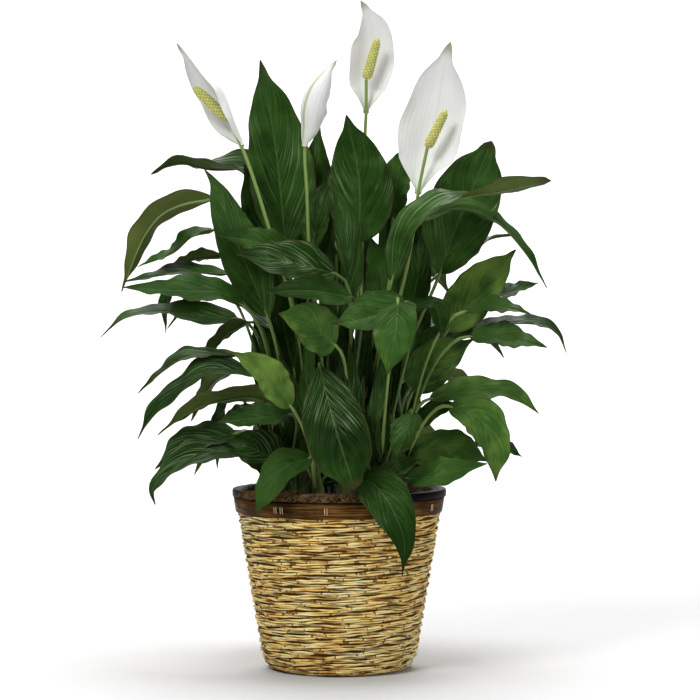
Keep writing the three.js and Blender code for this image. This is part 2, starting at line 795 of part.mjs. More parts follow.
// The spathe clasps the stalk at its base and opens out into its own wrap above.
function spatheGeometry(flower) {
  const facing = new THREE.Vector3(...flower.facing).normalize();
  const clasp = FLOWER_STALK.radius + GAP + SPATHE.thickness;
  const path = [flower.spatheBase, ...flower.spathe].map(seen);
  const curve = new THREE.CatmullRomCurve3(path, false, 'centripetal');
  const claspWrap = THREE.MathUtils.degToRad(SPATHE.claspWrap);
  const bodyWrap = THREE.MathUtils.degToRad(flower.wrap);
  const rings = [];
  for (let step = 0; step <= SPATHE.steps; step += 1) {
    const t = step / SPATHE.steps;
    const tangent = curve.getTangentAt(t);
    const up = facing.clone().addScaledVector(tangent, -facing.dot(tangent)).normalize();
    const side = tangent.clone().cross(up);
    const clasping = Math.max(0, 1 - t / SPATHE.claspShare);
    const wrap = bodyWrap + (claspWrap - bodyWrap) * clasping;
    const bodyWidth = flower.width * widthShare(t, SPATHE);
    const radius = Math.max(SPATHE.tipWidth, bodyWidth, clasp * claspWrap * clasping) / wrap;
    const back = curve.getPointAt(t).addScaledVector(up, -clasp * clasping);
    const face = (offset) => Array.from({ length: SPATHE.across + 1 }, (_, i) => {
      const angle = wrap * (i / SPATHE.across - 0.5);
      const reach = radius - offset;
      return back.clone()
        .addScaledVector(up, radius - reach * Math.cos(angle))
        .addScaledVector(side, reach * Math.sin(angle));
    });
    rings.push([...face(SPATHE.thickness / 2), ...face(-SPATHE.thickness / 2).reverse()]);
  }
  return loft(rings);
}

// The spadix is a round-ended rod covered with florets, raised in a chequered relief.
function spadixGeometry(flower) {
  const { rows, columns, relief, slenderness, narrowing, bluntness, tipRadius } = SPADIX;
  const [foot, tip] = flower.spadix.map(seen);
  const along = tip.clone().sub(foot).normalize();
  const start = foot.clone().addScaledVector(along, 2 * GAP);
  const length = start.distanceTo(tip);
  const outline = [];
  for (let row = 0; row <= rows; row += 1) {
    const t = row / rows;
    const roundness = Math.sqrt(1 - Math.abs(2 * t - 1) ** bluntness);
    const radius = (length / slenderness) * roundness * (1 - narrowing * t);
    outline.push([Math.max(tipRadius, radius), t * length]);
  }
  const body = reliefBody(outline, columns, (row, column) => (
    row > 0 && row < rows ? relief * (-1) ** (row + column) : 0
  ));
  return body
    .applyQuaternion(new THREE.Quaternion().setFromUnitVectors(new THREE.Vector3(0, 0, 1), along))
    .translate(start.x, start.y, start.z);
}

const plantPot = new THREE.Group();
plantPot.add(
  meshOf('basket', basketGeometry(), 'straw'),
  meshOf('rim_band', bandGeometry(), 'splitWood'),
  meshOf('grow_pot', growPotGeometry(), 'blackPlastic'),
  meshOf('soil', soilGeometry(), 'soil'),
  meshOf('moss', mossGeometry(), 'moss'),
);
for (const crown of CROWNS) {
  plantPot.add(meshOf(crown.name, crownGeometry(crown), 'leaf'));
}
for (const flower of FLOWERS) {
  plantPot.add(
    meshOf(`${flower.name}_stalk`, flowerStalkGeometry(flower), 'stalk'),
    meshOf(`${flower.name}_spathe`, spatheGeometry(flower), 'spathe'),
    meshOf(`${flower.name}_spadix`, spadixGeometry(flower), 'spadix'),
  );
}

export default plantPot;
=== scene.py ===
import math
import random
from dataclasses import dataclass, field

import bpy
import numpy as np
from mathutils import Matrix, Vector


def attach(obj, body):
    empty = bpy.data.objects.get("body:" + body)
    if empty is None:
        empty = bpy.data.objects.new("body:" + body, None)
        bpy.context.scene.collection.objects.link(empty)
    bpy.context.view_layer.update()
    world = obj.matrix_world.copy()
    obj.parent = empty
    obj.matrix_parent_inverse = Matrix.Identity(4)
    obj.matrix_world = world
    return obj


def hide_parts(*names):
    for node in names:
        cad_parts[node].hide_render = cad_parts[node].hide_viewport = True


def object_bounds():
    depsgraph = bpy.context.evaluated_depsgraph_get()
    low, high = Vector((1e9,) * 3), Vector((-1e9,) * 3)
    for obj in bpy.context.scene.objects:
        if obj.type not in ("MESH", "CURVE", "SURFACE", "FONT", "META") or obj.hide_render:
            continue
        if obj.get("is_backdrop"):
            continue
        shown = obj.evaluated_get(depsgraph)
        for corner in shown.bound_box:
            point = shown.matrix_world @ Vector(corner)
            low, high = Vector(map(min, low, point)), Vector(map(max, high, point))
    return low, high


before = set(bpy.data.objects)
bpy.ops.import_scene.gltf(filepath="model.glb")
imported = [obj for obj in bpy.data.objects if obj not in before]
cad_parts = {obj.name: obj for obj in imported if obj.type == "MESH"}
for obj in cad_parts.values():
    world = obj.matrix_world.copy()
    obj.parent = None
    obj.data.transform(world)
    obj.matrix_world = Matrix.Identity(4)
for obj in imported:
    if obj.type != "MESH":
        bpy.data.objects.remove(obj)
cad_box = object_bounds()
scene = bpy.context.scene

# Lengths are in millimetres and angles in radians, where nothing else is said
MM = 0.001
TURN = 2 * math.pi

# The photo's viewpoint: to the right of the axis, above the floor and in front of the axis
EYE = (12.0, 410.0, 2800.0)
AIM_HEIGHT = 354.9
LENS, SENSOR = 129.0, 36.0

# Basket: its corner as radius and height, and how fast the wall above it widens
CORNER = [(73.0, 1.9), (79.5, 4.5), (83.5, 11.0), (86.5, 20.0)]
FLARE = 0.167
ROWS, CORNER_ROWS, WAVES = 35, 5, 8
WAVE_STEPS, STRAND_SIDES = 22, 6
COILS, COIL_PITCH = 15, 4.7
BAND_LOW, BAND_HIGH = 175.0, 192.0
LAP_DEGREES = (244, 262)
SOIL_TOP, CRUMBS = 193.6, 420
MOSS_FIBRES, LIP_FIBRES = 1700, 1400

# Crowns and stalks
CROWN_BOTTOM, CROWN_TOP, ROOT_DEPTH, ROOT_CIRCLE, FAN = 165.0, 212.0, 12.0, 3.2, 1.25
STALK_RADIUS, STALK_RISE, STALK_SPREAD, STALK_ARRIVAL = 1.7, 0.45, 0.06, 0.18
FLOWER_FOOT = 150.0

# Young leaves, tall and low: ranges of their start, rise and width, and their lean
YOUNG = [((232, 300), (80, 125), (20, 34), 1.25)] * 2 + [((222, 232), (45, 70), (24, 40), 1.1)] * 3

# The foot of a hood clasps its stalk, over a share of the hood's length
CLASP_RADIUS, CLASP_DEGREES, CLASP_SHARE = 3.4, 230, 0.2

# The golden angle, from each floret of a spadix to the next
SPIRAL_STEP = 2.39996

# Half the thickness of a leaf's blade and of a flower's hood
BLADE_SKIN, HOOD_SKIN = 0.3, 0.35

# Steps along a stalk and along a blade, and the places across a blade from edge to edge
STALK_STEPS, BLADE_STEPS, YOUNG_STEPS = 18, 34, 14
ACROSS = np.array([-1, -0.87, -0.7, -0.52, -0.34, -0.17, -0.05, 0, 0.05, 0.17, 0.34, 0.52, 0.7, 0.87, 1])


# The UV layers of a mesh, and the run once round a turned outline
UV_LAYERS, TURNED_GIRTH = ("run", "tone"), 700


# Points and curves
def seen(*points):
    """Places of points as the photo shows them, given by x, height and distance in front of the axis."""
    places = []
    for x, z, front in points:
        towards = (EYE[2] - front) / EYE[2]
        places.append(np.array([EYE[0] + (x - EYE[0]) * towards, -front, EYE[1] + (z - EYE[1]) * towards]))
    return places


def around(degrees, radius, z):
    angle = math.radians(degrees)
    return np.array([radius * math.cos(angle), radius * math.sin(angle), z])


def shares(count):
    return np.linspace(0, 1, count)


def turns(count):
    """Equal steps once round."""
    return np.linspace(0, TURN, count, endpoint=False)


def pair(*values):
    """Values that belong together for each point of a grid."""
    return np.stack(np.broadcast_arrays(*values), axis=-1)


def ringed(radius, angle, z):
    """Points round the basket's axis."""
    return pair(radius * np.cos(angle), radius * np.sin(angle), z)


def unit(vector):
    return vector / np.linalg.norm(vector, axis=-1, keepdims=True)


def smoothstep(low, high, value):
    t = np.clip((value - low) / (high - low), 0, 1)
    return t * t * (3 - 2 * t)


def hump(t, middle, spread):
    """A smooth rise to 1 and back."""
    return np.exp(-(((t - middle) / spread) ** 2))


class Path:
    """A line through close points, read by the share of its length."""

    def __init__(self, points):
        self.points = np.array(points)
        steps = np.linalg.norm(np.diff(self.points, axis=0), axis=1)
        self.along = np.concatenate([[0.0], np.cumsum(steps)])
        self.length = self.along[-1]

    def at(self, share):
        places = share * self.length
        return np.stack([np.interp(places, self.along, self.points[:, k]) for k in range(3)], axis=-1)

    def tangents(self, share, step=0.01):
        return unit(self.at(np.clip(share + step, 0, 1)) - self.at(np.clip(share - step, 0, 1)))


def smooth_path(points):
    """A centripetal Catmull-Rom curve through the points."""
    points = [np.array(point, float) for point in points]
    knots = [2 * points[0] - points[1], *points, 2 * points[-1] - points[-2]]
    dense = []
    for k in range(1, len(knots) - 2):
        p0, p1, p2, p3 = knots[k - 1:k + 3]
        d0, d1, d2 = (np.linalg.norm(b - a) ** 0.5 for a, b in ((p0, p1), (p1, p2), (p2, p3)))
        m1 = ((p1 - p0) / d0 - (p2 - p0) / (d0 + d1) + (p2 - p1) / d1) * d1
        m2 = ((p2 - p1) / d1 - (p3 - p1) / (d1 + d2) + (p3 - p2) / d2) * d1
        u = np.linspace(0, 1, 40, endpoint=k == len(knots) - 3)[:, None]
        square, cube = 3 * (p2 - p1) - 2 * m1 - m2, 2 * (p1 - p2) + m1 + m2
        dense.append(p1 + m1 * u + square * u**2 + cube * u**3)
    return Path(np.concatenate(dense))


def bezier_path(a, b, c, d):
    u = shares(80)[:, None]
    return Path((1 - u) ** 3 * a + 3 * u * (1 - u) ** 2 * b + 3 * u * u * (1 - u) * c + u**3 * d)


def carry(vector, before, after):
    """The vector, turned as the direction before turns into the direction after."""
    axis = np.cross(before, after)
    cosine = float(before.dot(after))
    return vector * cosine + np.cross(axis, vector) + axis * axis.dot(vector) / (1 + cosine)


def carried_sides(tangents, middle, across):
    """A direction across the line at each step, carried both ways from the middle without a twist."""
    sides = np.zeros_like(tangents)
    sides[middle] = unit(across - across.dot(tangents[middle]) * tangents[middle])
    for way, end in ((1, len(tangents)), (-1, -1)):
        for i in range(middle + way, end, way):
            sides[i] = carry(sides[i - way], tangents[i - way], tangents[i])
    return sides


def rotated(vectors, axes, angles):
    cosine = np.cos(angles)[:, None]
    sine = np.sin(angles)[:, None]
    along = np.sum(vectors * axes, axis=1, keepdims=True)
    return vectors * cosine + np.cross(axes, vectors) * sine + axes * along * (1 - cosine)


# Leaves, crowns and flowers, with twist and fold in degrees
@dataclass
class Leaf:
    width: float
    midrib: list
    across: np.ndarray
    twist: float = 0
    fold: float = 13
    swell: float = 0.62
    taper: float = 1.02
    tone: float = None


@dataclass
class Crown:
    """A place in the soil, the leaves that the solids have too, and inner ones that close the middle."""
    name: str
    x: float
    y: float
    leaves: list
    inner: list = field(default_factory=list)


@dataclass
class Flower:
    """The way of its stalk, its hood from its foot up, and its spadix. The wrap is in degrees."""
    name: str
    root: tuple
    width: float
    wrap: float
    facing: tuple
    way: list
    hood: list
    spadix: list


def blade(width, turn, *points, **shape):
    """A leaf by points of its midrib as the photo shows them: x, height, distance in front of the axis."""
    base_x, base_z, _ = points[0]
    tip_x, tip_z, _ = points[-1]
    right = unit(np.array([tip_z - base_z, 0.0, base_x - tip_x], float))
    turn = math.radians(turn) * (-1 if tip_x < base_x else 1)
    across = right * math.cos(turn) + np.array([0.0, -math.sin(turn), 0.0])
    return Leaf(width, seen(*points), across, **shape)


def arch(width, azimuth, *points):
    """A leaf behind the plant by points of its midrib: distance from the axis and height."""
    return Leaf(width, [around(azimuth, radius, z) for radius, z in points], around(azimuth - 90, 1, 0))


CROWNS = [
    Crown("tall_left", -20, 2, [
        blade(56, 30, (-30, 440, -26), (-27, 530, -24), (-22, 609, -22)),
        blade(80, 18, (-60, 472, -8), (-71, 580, -6), (-88, 678, 2), fold=18),
        blade(32, 22, (-31, 466, 10), (-23, 510, 11), (-12, 549, 12)),
        blade(60, 16, (-62, 424, -46), (-86, 500, -52), (-106, 562, -50)),
        blade(60, 84, (-64, 557, -94), (-105, 558, -92), (-143, 557, -80), (-181, 563, -66),
              (-210, 551, -54), twist=110),
    ]),
    Crown("tall_middle", 8, 2, [
        blade(76, 4, (22, 474, 8), (22, 545, 12), (8, 617, 14), fold=16, tone=0.42),
        blade(48, 38, (60, 500, -22), (65, 550, -22), (75, 583, -18), tone=0.58),
        blade(44, 48, (12, 410, 36), (8, 480, 42), (-9, 547, 46), tone=0.5),
        blade(42, 22, (50, 400, 0), (46, 440, 0), (34, 482, -2)),
    ], [
        blade(36, 20, (64, 410, -24), (58, 462, -26), (50, 518, -26)),
        blade(38, 16, (2, 350, -30), (-2, 415, -34), (-12, 486, -36)),
        blade(36, 14, (28, 400, -34), (26, 450, -36), (20, 508, -36)),
        blade(24, 10, (12, 326, -20), (7, 362, -22), (0, 400, -24)),
    ]),
    Crown("tall_right", 34, 4, [
        blade(84, 8, (112, 440, -12), (130, 490, -10), (152, 544, -6), (170, 588, 0), fold=22, taper=0.72,
              tone=0.58),
        blade(54, 76, (58, 430, 52), (78, 492, 60), (116, 520, 60), (178, 532, 52), (236, 544, 42),
              twist=116, taper=0.6, tone=0.42),
        blade(36, 66, (92, 500, 22), (134, 514, 22), (174, 500, 18), (208, 464, 10), (232, 424, 0),
              tone=0.6),
        blade(38, 20, (80, 398, 4), (88, 440, 6), (92, 486, 6)),
    ], [
        blade(30, 16, (80, 416, -30), (86, 462, -32), (90, 512, -32)),
    ]),
    Crown("left_upper", -42, -14, [
        blade(52, 14, (-80, 392, 22), (-104, 450, 30), (-124, 500, 32), (-139, 540, 30), (-150, 556, 28)),
        blade(46, 52, (-45, 455, 34), (-90, 475, 48), (-137, 483, 60)),
    ], [
        blade(40, 20, (-50, 330, -10), (-60, 372, -14), (-68, 428, -18)),
        blade(36, 18, (-34, 350, -28), (-40, 392, -30), (-44, 440, -30)),
        blade(36, 14, (-56, 372, -34), (-62, 412, -36), (-66, 456, -36)),
    ]),
    Crown("left_back", -40, 20, [
        blade(42, 128, (-140, 524, -10), (-172, 519, -12), (-198, 507, -14), (-217, 484, -14),
              (-230, 455, -12), (-243, 420, -8), tone=0.94),
        blade(38, 72, (-140, 489, 2), (-165, 483, 4), (-185, 465, 6), (-225, 448, 8), tone=0.56),
        blade(34, 110, (-130, 460, -24), (-165, 456, -28), (-192, 440, -30)),
        blade(36, 68, (-125, 440, 4), (-170, 443, 6), (-241, 431, 8), tone=0.46),
    ]),
    Crown("left_middle", -62, 2, [
        blade(48, 55, (-107, 404, 54), (-130, 418, 60), (-180, 421, 62), (-241, 425, 60)),
        blade(42, 66, (-113, 390, -8), (-165, 394, -12), (-200, 398, -12), (-240, 391, -10),
              (-267, 369, -6), twist=50, tone=0.54),
        blade(30, 60, (-150, 432, -44), (-188, 422, -48), (-194, 374, -48)),
        blade(34, 112, (-103, 386, 14), (-128, 372, 22), (-143, 350, 26), (-155, 316, 28)),
    ]),
    Crown("centre_front", 4, -34, [
        blade(42, 50, (14, 414, 70), (-33, 421, 112), (-82, 420, 140), tone=0.3),
        blade(54, 36, (-4, 440, 58), (-50, 452, 78), (-115, 462, 102)),
        blade(56, 28, (-4, 360, 92), (-35, 383, 118), (-68, 396, 140), tone=0.8),
    ], [
        blade(34, 36, (-6, 210, 20), (10, 226, 24), (34, 236, 26)),
        blade(30, 30, (36, 206, 20), (26, 224, 24), (10, 238, 26)),
        blade(28, 24, (-28, 204, 6), (-12, 217, 8), (8, 224, 10)),
    ]),
    Crown("left_low", -68, -26, [
        blade(36, 72, (-114, 349.5, 53), (-171, 347.5, 57), (-194, 334.5, 57), (-225, 306.5, 55)),
        blade(44, 60, (-91.5, 326, 68), (-139.5, 335, 78), (-174.5, 314, 80), (-204.5, 289, 82),
              (-225.5, 255, 82), tone=0.16),
        blade(30, 66, (-79.5, 285.5, 26), (-104.5, 286.5, 28), (-134.5, 277.5, 28)),
        blade(28, 60, (-124.5, 308, 6), (-132.5, 279, 6), (-136.5, 223, 6)),
    ]),
    Crown("left_lowest", -52, -50, [
        blade(42, 115, (-75, 292, 62), (-97, 303, 72), (-140, 297, 84), (-165, 288, 88), (-203, 260, 90)),
        blade(40, 55, (-55, 283, 92), (-100, 278, 102), (-137, 274, 110)),
        blade(46, 50, (-115, 262, 66), (-165, 252, 72), (-206, 222, 74)),
        blade(44, 55, (-100, 240, 86), (-160, 238, 96), (-208, 200, 98), (-206, 182, 98), tone=0.2),
        blade(50, 25, (-62, 226, 78), (-95, 244, 88), (-127, 254, 96)),
    ]),
    Crown("front_left", -22, -64, [
        blade(42, 34, (-53.5, 291, 109), (-86.5, 332, 129), (-119.5, 353, 141), tone=1.08),
        blade(40, 28, (-31, 235, 97), (-63, 223, 113), (-94, 171, 119), tone=0.52),
    ]),
    Crown("front", 10, -66, [
        blade(74, 0, (-22.5, 338.5, 96), (-4.5, 268.5, 128), (17.5, 198.5, 136), fold=24, swell=0.9,
              taper=0.62, tone=0.16),
        blade(52, 10, (20.5, 208.5, 90), (36.5, 206.5, 108), (58.5, 178.5, 130), (72.5, 140.5, 136),
              (70.5, 102.5, 134), taper=1.35, tone=0.3),
    ]),
    Crown("front_right", 42, -54, [
        blade(34, 52, (43.5, 211, 77), (64.5, 221, 85), (91.5, 233, 93)),
        blade(38, 40, (81.5, 285.5, 83), (74.5, 261.5, 97), (61.5, 231.5, 105)),
        blade(50, 20, (65.5, 409, 124), (62.5, 371, 148), (53.5, 327, 154), tone=0.64),
        blade(56, 36, (75.5, 409, 64), (35.5, 392, 92), (-6.5, 384, 114), tone=0.48),
    ]),
    Crown("right_low", 68, -28, [
        blade(48, 42, (80, 232, 40), (120, 246, 44), (168, 230, 48), tone=0.78),
        blade(42, 50, (75, 211, 72), (105, 214, 84), (165, 228, 98), tone=0.74),
        blade(50, 28, (122, 292, 66), (155, 280, 74), (172, 250, 80), (175, 208, 82), tone=0.82),
        blade(36, 52, (74, 398, 34), (106, 403, 44), (115, 368, 50)),
        blade(36, 62, (140, 398, 20), (180, 403, 24), (214, 395, 26), tone=0.66),
        blade(44, 54, (100, 300, 24), (150, 309, 28), (190, 307, 30), (207, 298, 30), (223, 284, 30),
              tone=0.8),
    ], [
        blade(26, 36, (84, 268, 6), (106, 287, 8), (134, 296, 8)),
        blade(34, 40, (56, 214, 34), (82, 222, 40), (112, 234, 42)),
    ]),
    Crown("right_middle", 62, 4, [
        blade(52, 16, (78, 310, 0), (110, 343, 0), (150, 367, 2), twist=40, tone=0.72),
        blade(44, 54, (145, 370, 30), (190, 368, 34), (232, 358, 36), tone=0.56),
        blade(34, 62, (150, 250, 0), (178, 248, 0), (204, 236, 2)),
    ], [
        blade(32, 26, (70, 330, -14), (94, 358, -16), (118, 388, -18)),
        blade(26, 20, (84, 356, -24), (92, 388, -26), (99, 420, -26)),
        blade(24, 44, (104, 364, -20), (130, 373, -22), (160, 374, -24)),
    ]),
    Crown("right_upper", 52, 26, [
        blade(56, 20, (120, 375, -12), (150, 415, -14), (197, 467, -12), tone=0.88),
        blade(30, 70, (112, 440, -32), (145, 458, -34), (165, 478, -34), (203, 484, -30), twist=60,
              tone=-0.1),
        blade(34, 62, (165, 415, -34), (195, 421, -36), (222, 430, -36)),
        blade(34, 70, (145, 378, -40), (200, 386, -42), (240, 378, -40), (254, 352, -36)),
    ]),
    Crown("back_left", -34, 52, [
        arch(50, 152, (90, 380), (140, 412), (190, 410), (226, 378)),
        arch(50, 138, (80, 300), (136, 332), (194, 318), (236, 268)),
        arch(46, 146, (84, 232), (130, 256), (172, 248), (204, 208)),
        arch(56, 122, (62, 420), (106, 472), (160, 486), (208, 456)),
        arch(52, 116, (84, 240), (136, 272), (190, 262), (232, 214)),
        blade(58, 6, (-50, 268, -59), (-70, 330, -65), (-96, 396, -67)),
    ]),
    Crown("back", 4, 60, [
        arch(56, 84, (70, 288), (122, 324), (182, 318), (234, 264)),
        blade(66, 8, (-6, 292, -70), (-11, 350, -84), (-17, 414, -90)),
        blade(54, 10, (34, 310, -74), (44, 360, -84), (52, 414, -88)),
        arch(58, 96, (40, 470), (66, 532), (106, 566), (150, 554)),
        arch(54, 72, (56, 410), (100, 458), (154, 468), (202, 430)),
    ]),
    Crown("back_right", 42, 50, [
        arch(50, 30, (90, 360), (136, 388), (184, 380), (220, 344)),
        arch(52, 46, (80, 300), (132, 332), (190, 322), (236, 274)),
        arch(50, 60, (84, 236), (134, 262), (186, 252), (226, 200)),
        arch(54, 52, (60, 400), (104, 448), (160, 458), (210, 418)),
        blade(56, 6, (50, 226, -38), (66, 276, -42), (86, 330, -42)),
    ]),
]

# The hood of the closed flower is turned farther about its own axis than in the solid
FLOWERS = [
    Flower("left", (-31, -2), 60, 170, (-0.78, -0.5, -0.3),
           way=[(-52, 400, 30), (-80, 496, 26), (-98, 553, 24)],
           hood=[(-109, 582, 22), (-119, 610, 14), (-131, 640, 12), (-152, 668, 16),
                 (-168, 684, 20), (-181, 697, 22)],
           spadix=[(-124, 612, 22), (-162, 648, 30)]),
    Flower("closed", (-8, -14), 70, 280, (0.7, 0.75, -0.25),
           way=[(-26, 400, 18), (-33, 460, 26), (-36, 530, 28)],
           hood=[(-38, 583, 26), (-39, 598, 32), (-39, 624, 40), (-31, 648, 41),
                 (-17, 665, 38), (-3, 678, 33)],
           spadix=[(-31, 610, 28), (-23, 642, 28)]),
    Flower("top", (22, 26), 54, 80, (0.1, -1, 0.1),
           way=[(26, 480, -34), (28, 560, -26), (29, 600, -20)],
           hood=[(30, 620, -18), (31, 642, -26), (35, 675, -30), (38, 705, -28),
                 (32, 728, -22), (24, 744, -16)],
           spadix=[(30, 656, -14), (43, 702, -8)]),
    Flower("right", (56, -8), 78, 90, (-0.1, -1, 0.1),
           way=[(66, 400, 24), (76, 450, 28), (83, 490, 28)],
           hood=[(88, 530, 26), (93, 560, 10), (104, 600, 4), (112, 640, 4),
                 (117, 672, 10), (124, 698, 18)],
           spadix=[(98, 580, 26), (119, 622, 32)]),
]


class Parts:
    """A mesh of grids of points, each with a run (across, along) and a tone pair."""

    def __init__(self):
        self.points, self.faces, self.runs, self.tones, self.paints = [], [], [], [], []
        self.count = 0

    def grid(self, points, run, tone, paint=0, close_rows=False, close_columns=False, flip=False):
        rows, columns = points.shape[:2]
        index = self.count + np.arange(rows * columns).reshape(rows, columns)
        across, above = np.roll(index, -1, 1), np.roll(index, -1, 0)
        corners = [index, across, np.roll(above, -1, 1), above]
        faces = np.stack([corners[0], *corners[:0:-1]] if flip else corners, axis=-1)
        faces = faces[:rows - (not close_rows), :columns - (not close_columns)].reshape(-1, 4)
        self.faces.append(faces)
        self.paints.append(np.full(len(faces), paint))
        self.points.append(points.reshape(-1, 3))
        self.runs.append(np.broadcast_to(run, (rows, columns, 2)).reshape(-1, 2))
        self.tones.append(np.broadcast_to(tone, (rows, columns, 2)).reshape(-1, 2))
        self.count += rows * columns

    def loop(self, radius, angle, z, run, tone, paint=0, flip=False):
        """A grid round the basket's axis that closes both ways."""
        self.grid(ringed(radius, angle, z), run, tone, paint, close_rows=True, close_columns=True, flip=flip)

    def tube(self, centres, tangents, radii, sides, along, tone, paint=0, side_axes=None):
        if side_axes is None:
            across = np.array([1.0, 0.2, 0.1]) if abs(tangents[0][0]) < 0.8 else np.array([0.1, 1.0, 0.2])
            side_axes = carried_sides(tangents, 0, across)
        up = unit(np.cross(side_axes, tangents))
        angle = turns(sides)
        ring = side_axes[:, None] * np.cos(angle)[:, None] + up[:, None] * np.sin(angle)[:, None]
        points = centres[:, None] + ring * np.asarray(radii)[:, None, None]
        run = pair(angle / TURN, np.asarray(along)[:, None])
        self.grid(points, run, tone, paint, close_columns=True, flip=True)

    def fibre(self, centres, radii, sides, along, tone, paint=0):
        """A short tube that reads its direction from its centres."""
        self.tube(centres, unit(np.gradient(centres, axis=0)), radii, sides, along, tone, paint)

    def sheet(self, upper, lower, run, tone, rim_under):
        """A thin sheet: two faces, and the two long edges between them."""
        self.grid(upper, run, (tone, 0.0))
        self.grid(lower, run, (tone, 1.0), flip=True)
        for edge, flip in ((0, True), (-1, False)):
            rim = np.stack([upper[:, edge], lower[:, edge]], axis=1)
            self.grid(rim, run[:, [edge, edge]], (tone, rim_under), flip=flip)

    def turned(self, outline, segments, paint=0):
        """A closed outline of radius and height, turned round the basket's axis."""
        radius, z = np.array(outline, float).T
        share = np.linspace(0, 1, segments, endpoint=False)[:, None]
        run = pair(shares(len(outline)), share * TURNED_GIRTH)
        self.loop(radius, turns(segments)[:, None], z, run, (0.5, 0.5), paint)

    def mesh_object(self, piece_name, materials):
        mesh = bpy.data.meshes.new(piece_name)
        points = np.concatenate(self.points) * MM
        mesh.from_pydata(points.tolist(), [], np.concatenate(self.faces).tolist())
        corner = np.zeros(len(mesh.loops), dtype=np.int32)
        mesh.loops.foreach_get("vertex_index", corner)
        for name, values in zip(UV_LAYERS, (self.runs, self.tones)):
            layer = mesh.uv_layers.new(name=name)
            layer.data.foreach_set("uv", np.concatenate(values)[corner].astype(np.float32).ravel())
        mesh.polygons.foreach_set("material_index", np.concatenate(self.paints).astype(np.int32))
        mesh.polygons.foreach_set("use_smooth", np.ones(len(mesh.polygons), dtype=bool))
        for material in materials:
            mesh.materials.append(material)
        mesh.update()
        obj = bpy.data.objects.new(piece_name, mesh)
        scene.collection.objects.link(obj)
        return obj

    def make(self, name, materials, node):
        """The finer piece that stands in for a solid."""
        obj = self.mesh_object(name, materials)
        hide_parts(node)
        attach(obj, "root")


# Materials
class Signal:
    """A number or a colour inside a material. Sums, differences and products add math nodes."""

    def __init__(self, paint, socket):
        self.paint, self.socket = paint, socket

    def __add__(self, other):
        return self.paint.math("ADD", self, other)

    def __sub__(self, other):
        return self.paint.math("SUBTRACT", self, other)

    def __mul__(self, other):
        return self.paint.math("MULTIPLY", self, other)

    def spread(self, low, high, to_low=0.0, to_high=1.0):
        """A smooth step from one value to the other, between low and high."""
        numbers = (self, low, high, to_low, to_high)
        return self.paint.node("MapRange", 0, enumerate(numbers), interpolation_type="SMOOTHSTEP")


class Paint:
    """A material under construction: each method adds a node and returns its output."""

    def __init__(self, name, specular=0.5, **shader):
        self.material = bpy.data.materials.new(name)
        self.material.use_nodes = True
        self.tree = self.material.node_tree
        self.shader = self.tree.nodes["Principled BSDF"]
        self.set("Specular IOR Level", specular)
        for socket, value in shader.items():
            self.set(socket.replace("_", " "), value)

    def put(self, socket, value):
        if isinstance(value, Signal):
            self.tree.links.new(value.socket, socket)
        else:
            socket.default_value = (*value, 1.0) if isinstance(value, tuple) and len(value) == 3 else value

    def set(self, name, value):
        self.put(self.shader.inputs[name], value)

    def node(self, kind, output, inputs=(), **settings):
        node = self.tree.nodes.new("ShaderNode" + kind)
        for name, value in settings.items():
            setattr(node, name, value)
        for socket, value in inputs:
            self.put(node.inputs[socket], value)
        return Signal(self, node.outputs[output])

    def math(self, operation, a, b=0.0, clamp=False):
        return self.node("Math", 0, ((0, a), (1, b)), operation=operation, use_clamp=clamp)

    def sine(self, value):
        return self.math("SINE", value)

    def uvs(self):
        """The run across and along a piece, its tone, and the second value of the tone pair."""
        places = [self.node("UVMap", 0, uv_map=name) for name in UV_LAYERS]
        layers = [self.node("SeparateXYZ", 0, [(0, place)]) for place in places]
        return [Signal(self, layer.socket.node.outputs[k]) for layer in layers for k in (0, 1)]

    def noise(self, scale, detail=2.0, roughness=0.5, place=None):
        place = place or self.node("TexCoord", "Object")
        inputs = (("Vector", place), ("Scale", scale), ("Detail", detail), ("Roughness", roughness))
        return self.node("TexNoise", 0, inputs)

    def drawn_noise(self, place, detail=2.0, roughness=0.5, scale=1.0):
        """Noise drawn out along a piece, by its run and tone."""
        return self.noise(scale, detail, roughness, self.node("CombineXYZ", 0, enumerate(place)))

    def ramp(self, factor, *stops):
        """Colours at places from 0 to 1."""
        colours = self.node("ValToRGB", 0, [(0, factor)])
        elements = colours.socket.node.color_ramp.elements
        while len(elements) < len(stops):
            elements.new(0.5)
        for element, (position, *colour) in zip(elements, stops):
            element.position = position
            element.color = (*colour, 1.0)
        return colours

    def mix(self, factor, a, b):
        return self.node("Mix", 2, ((0, factor), (6, a), (7, b)), data_type="RGBA")

    def finish(self, colour, roughness, height=None, strength=0.0, distance=0.0):
        """The material, with a bump where a height is given."""
        self.set("Base Color", colour)
        self.set("Roughness", roughness)
        if height is not None:
            inputs = (("Strength", strength), ("Distance", distance * MM), ("Height", height))
            self.set("Normal", self.node("Bump", 0, inputs))
        return self.material


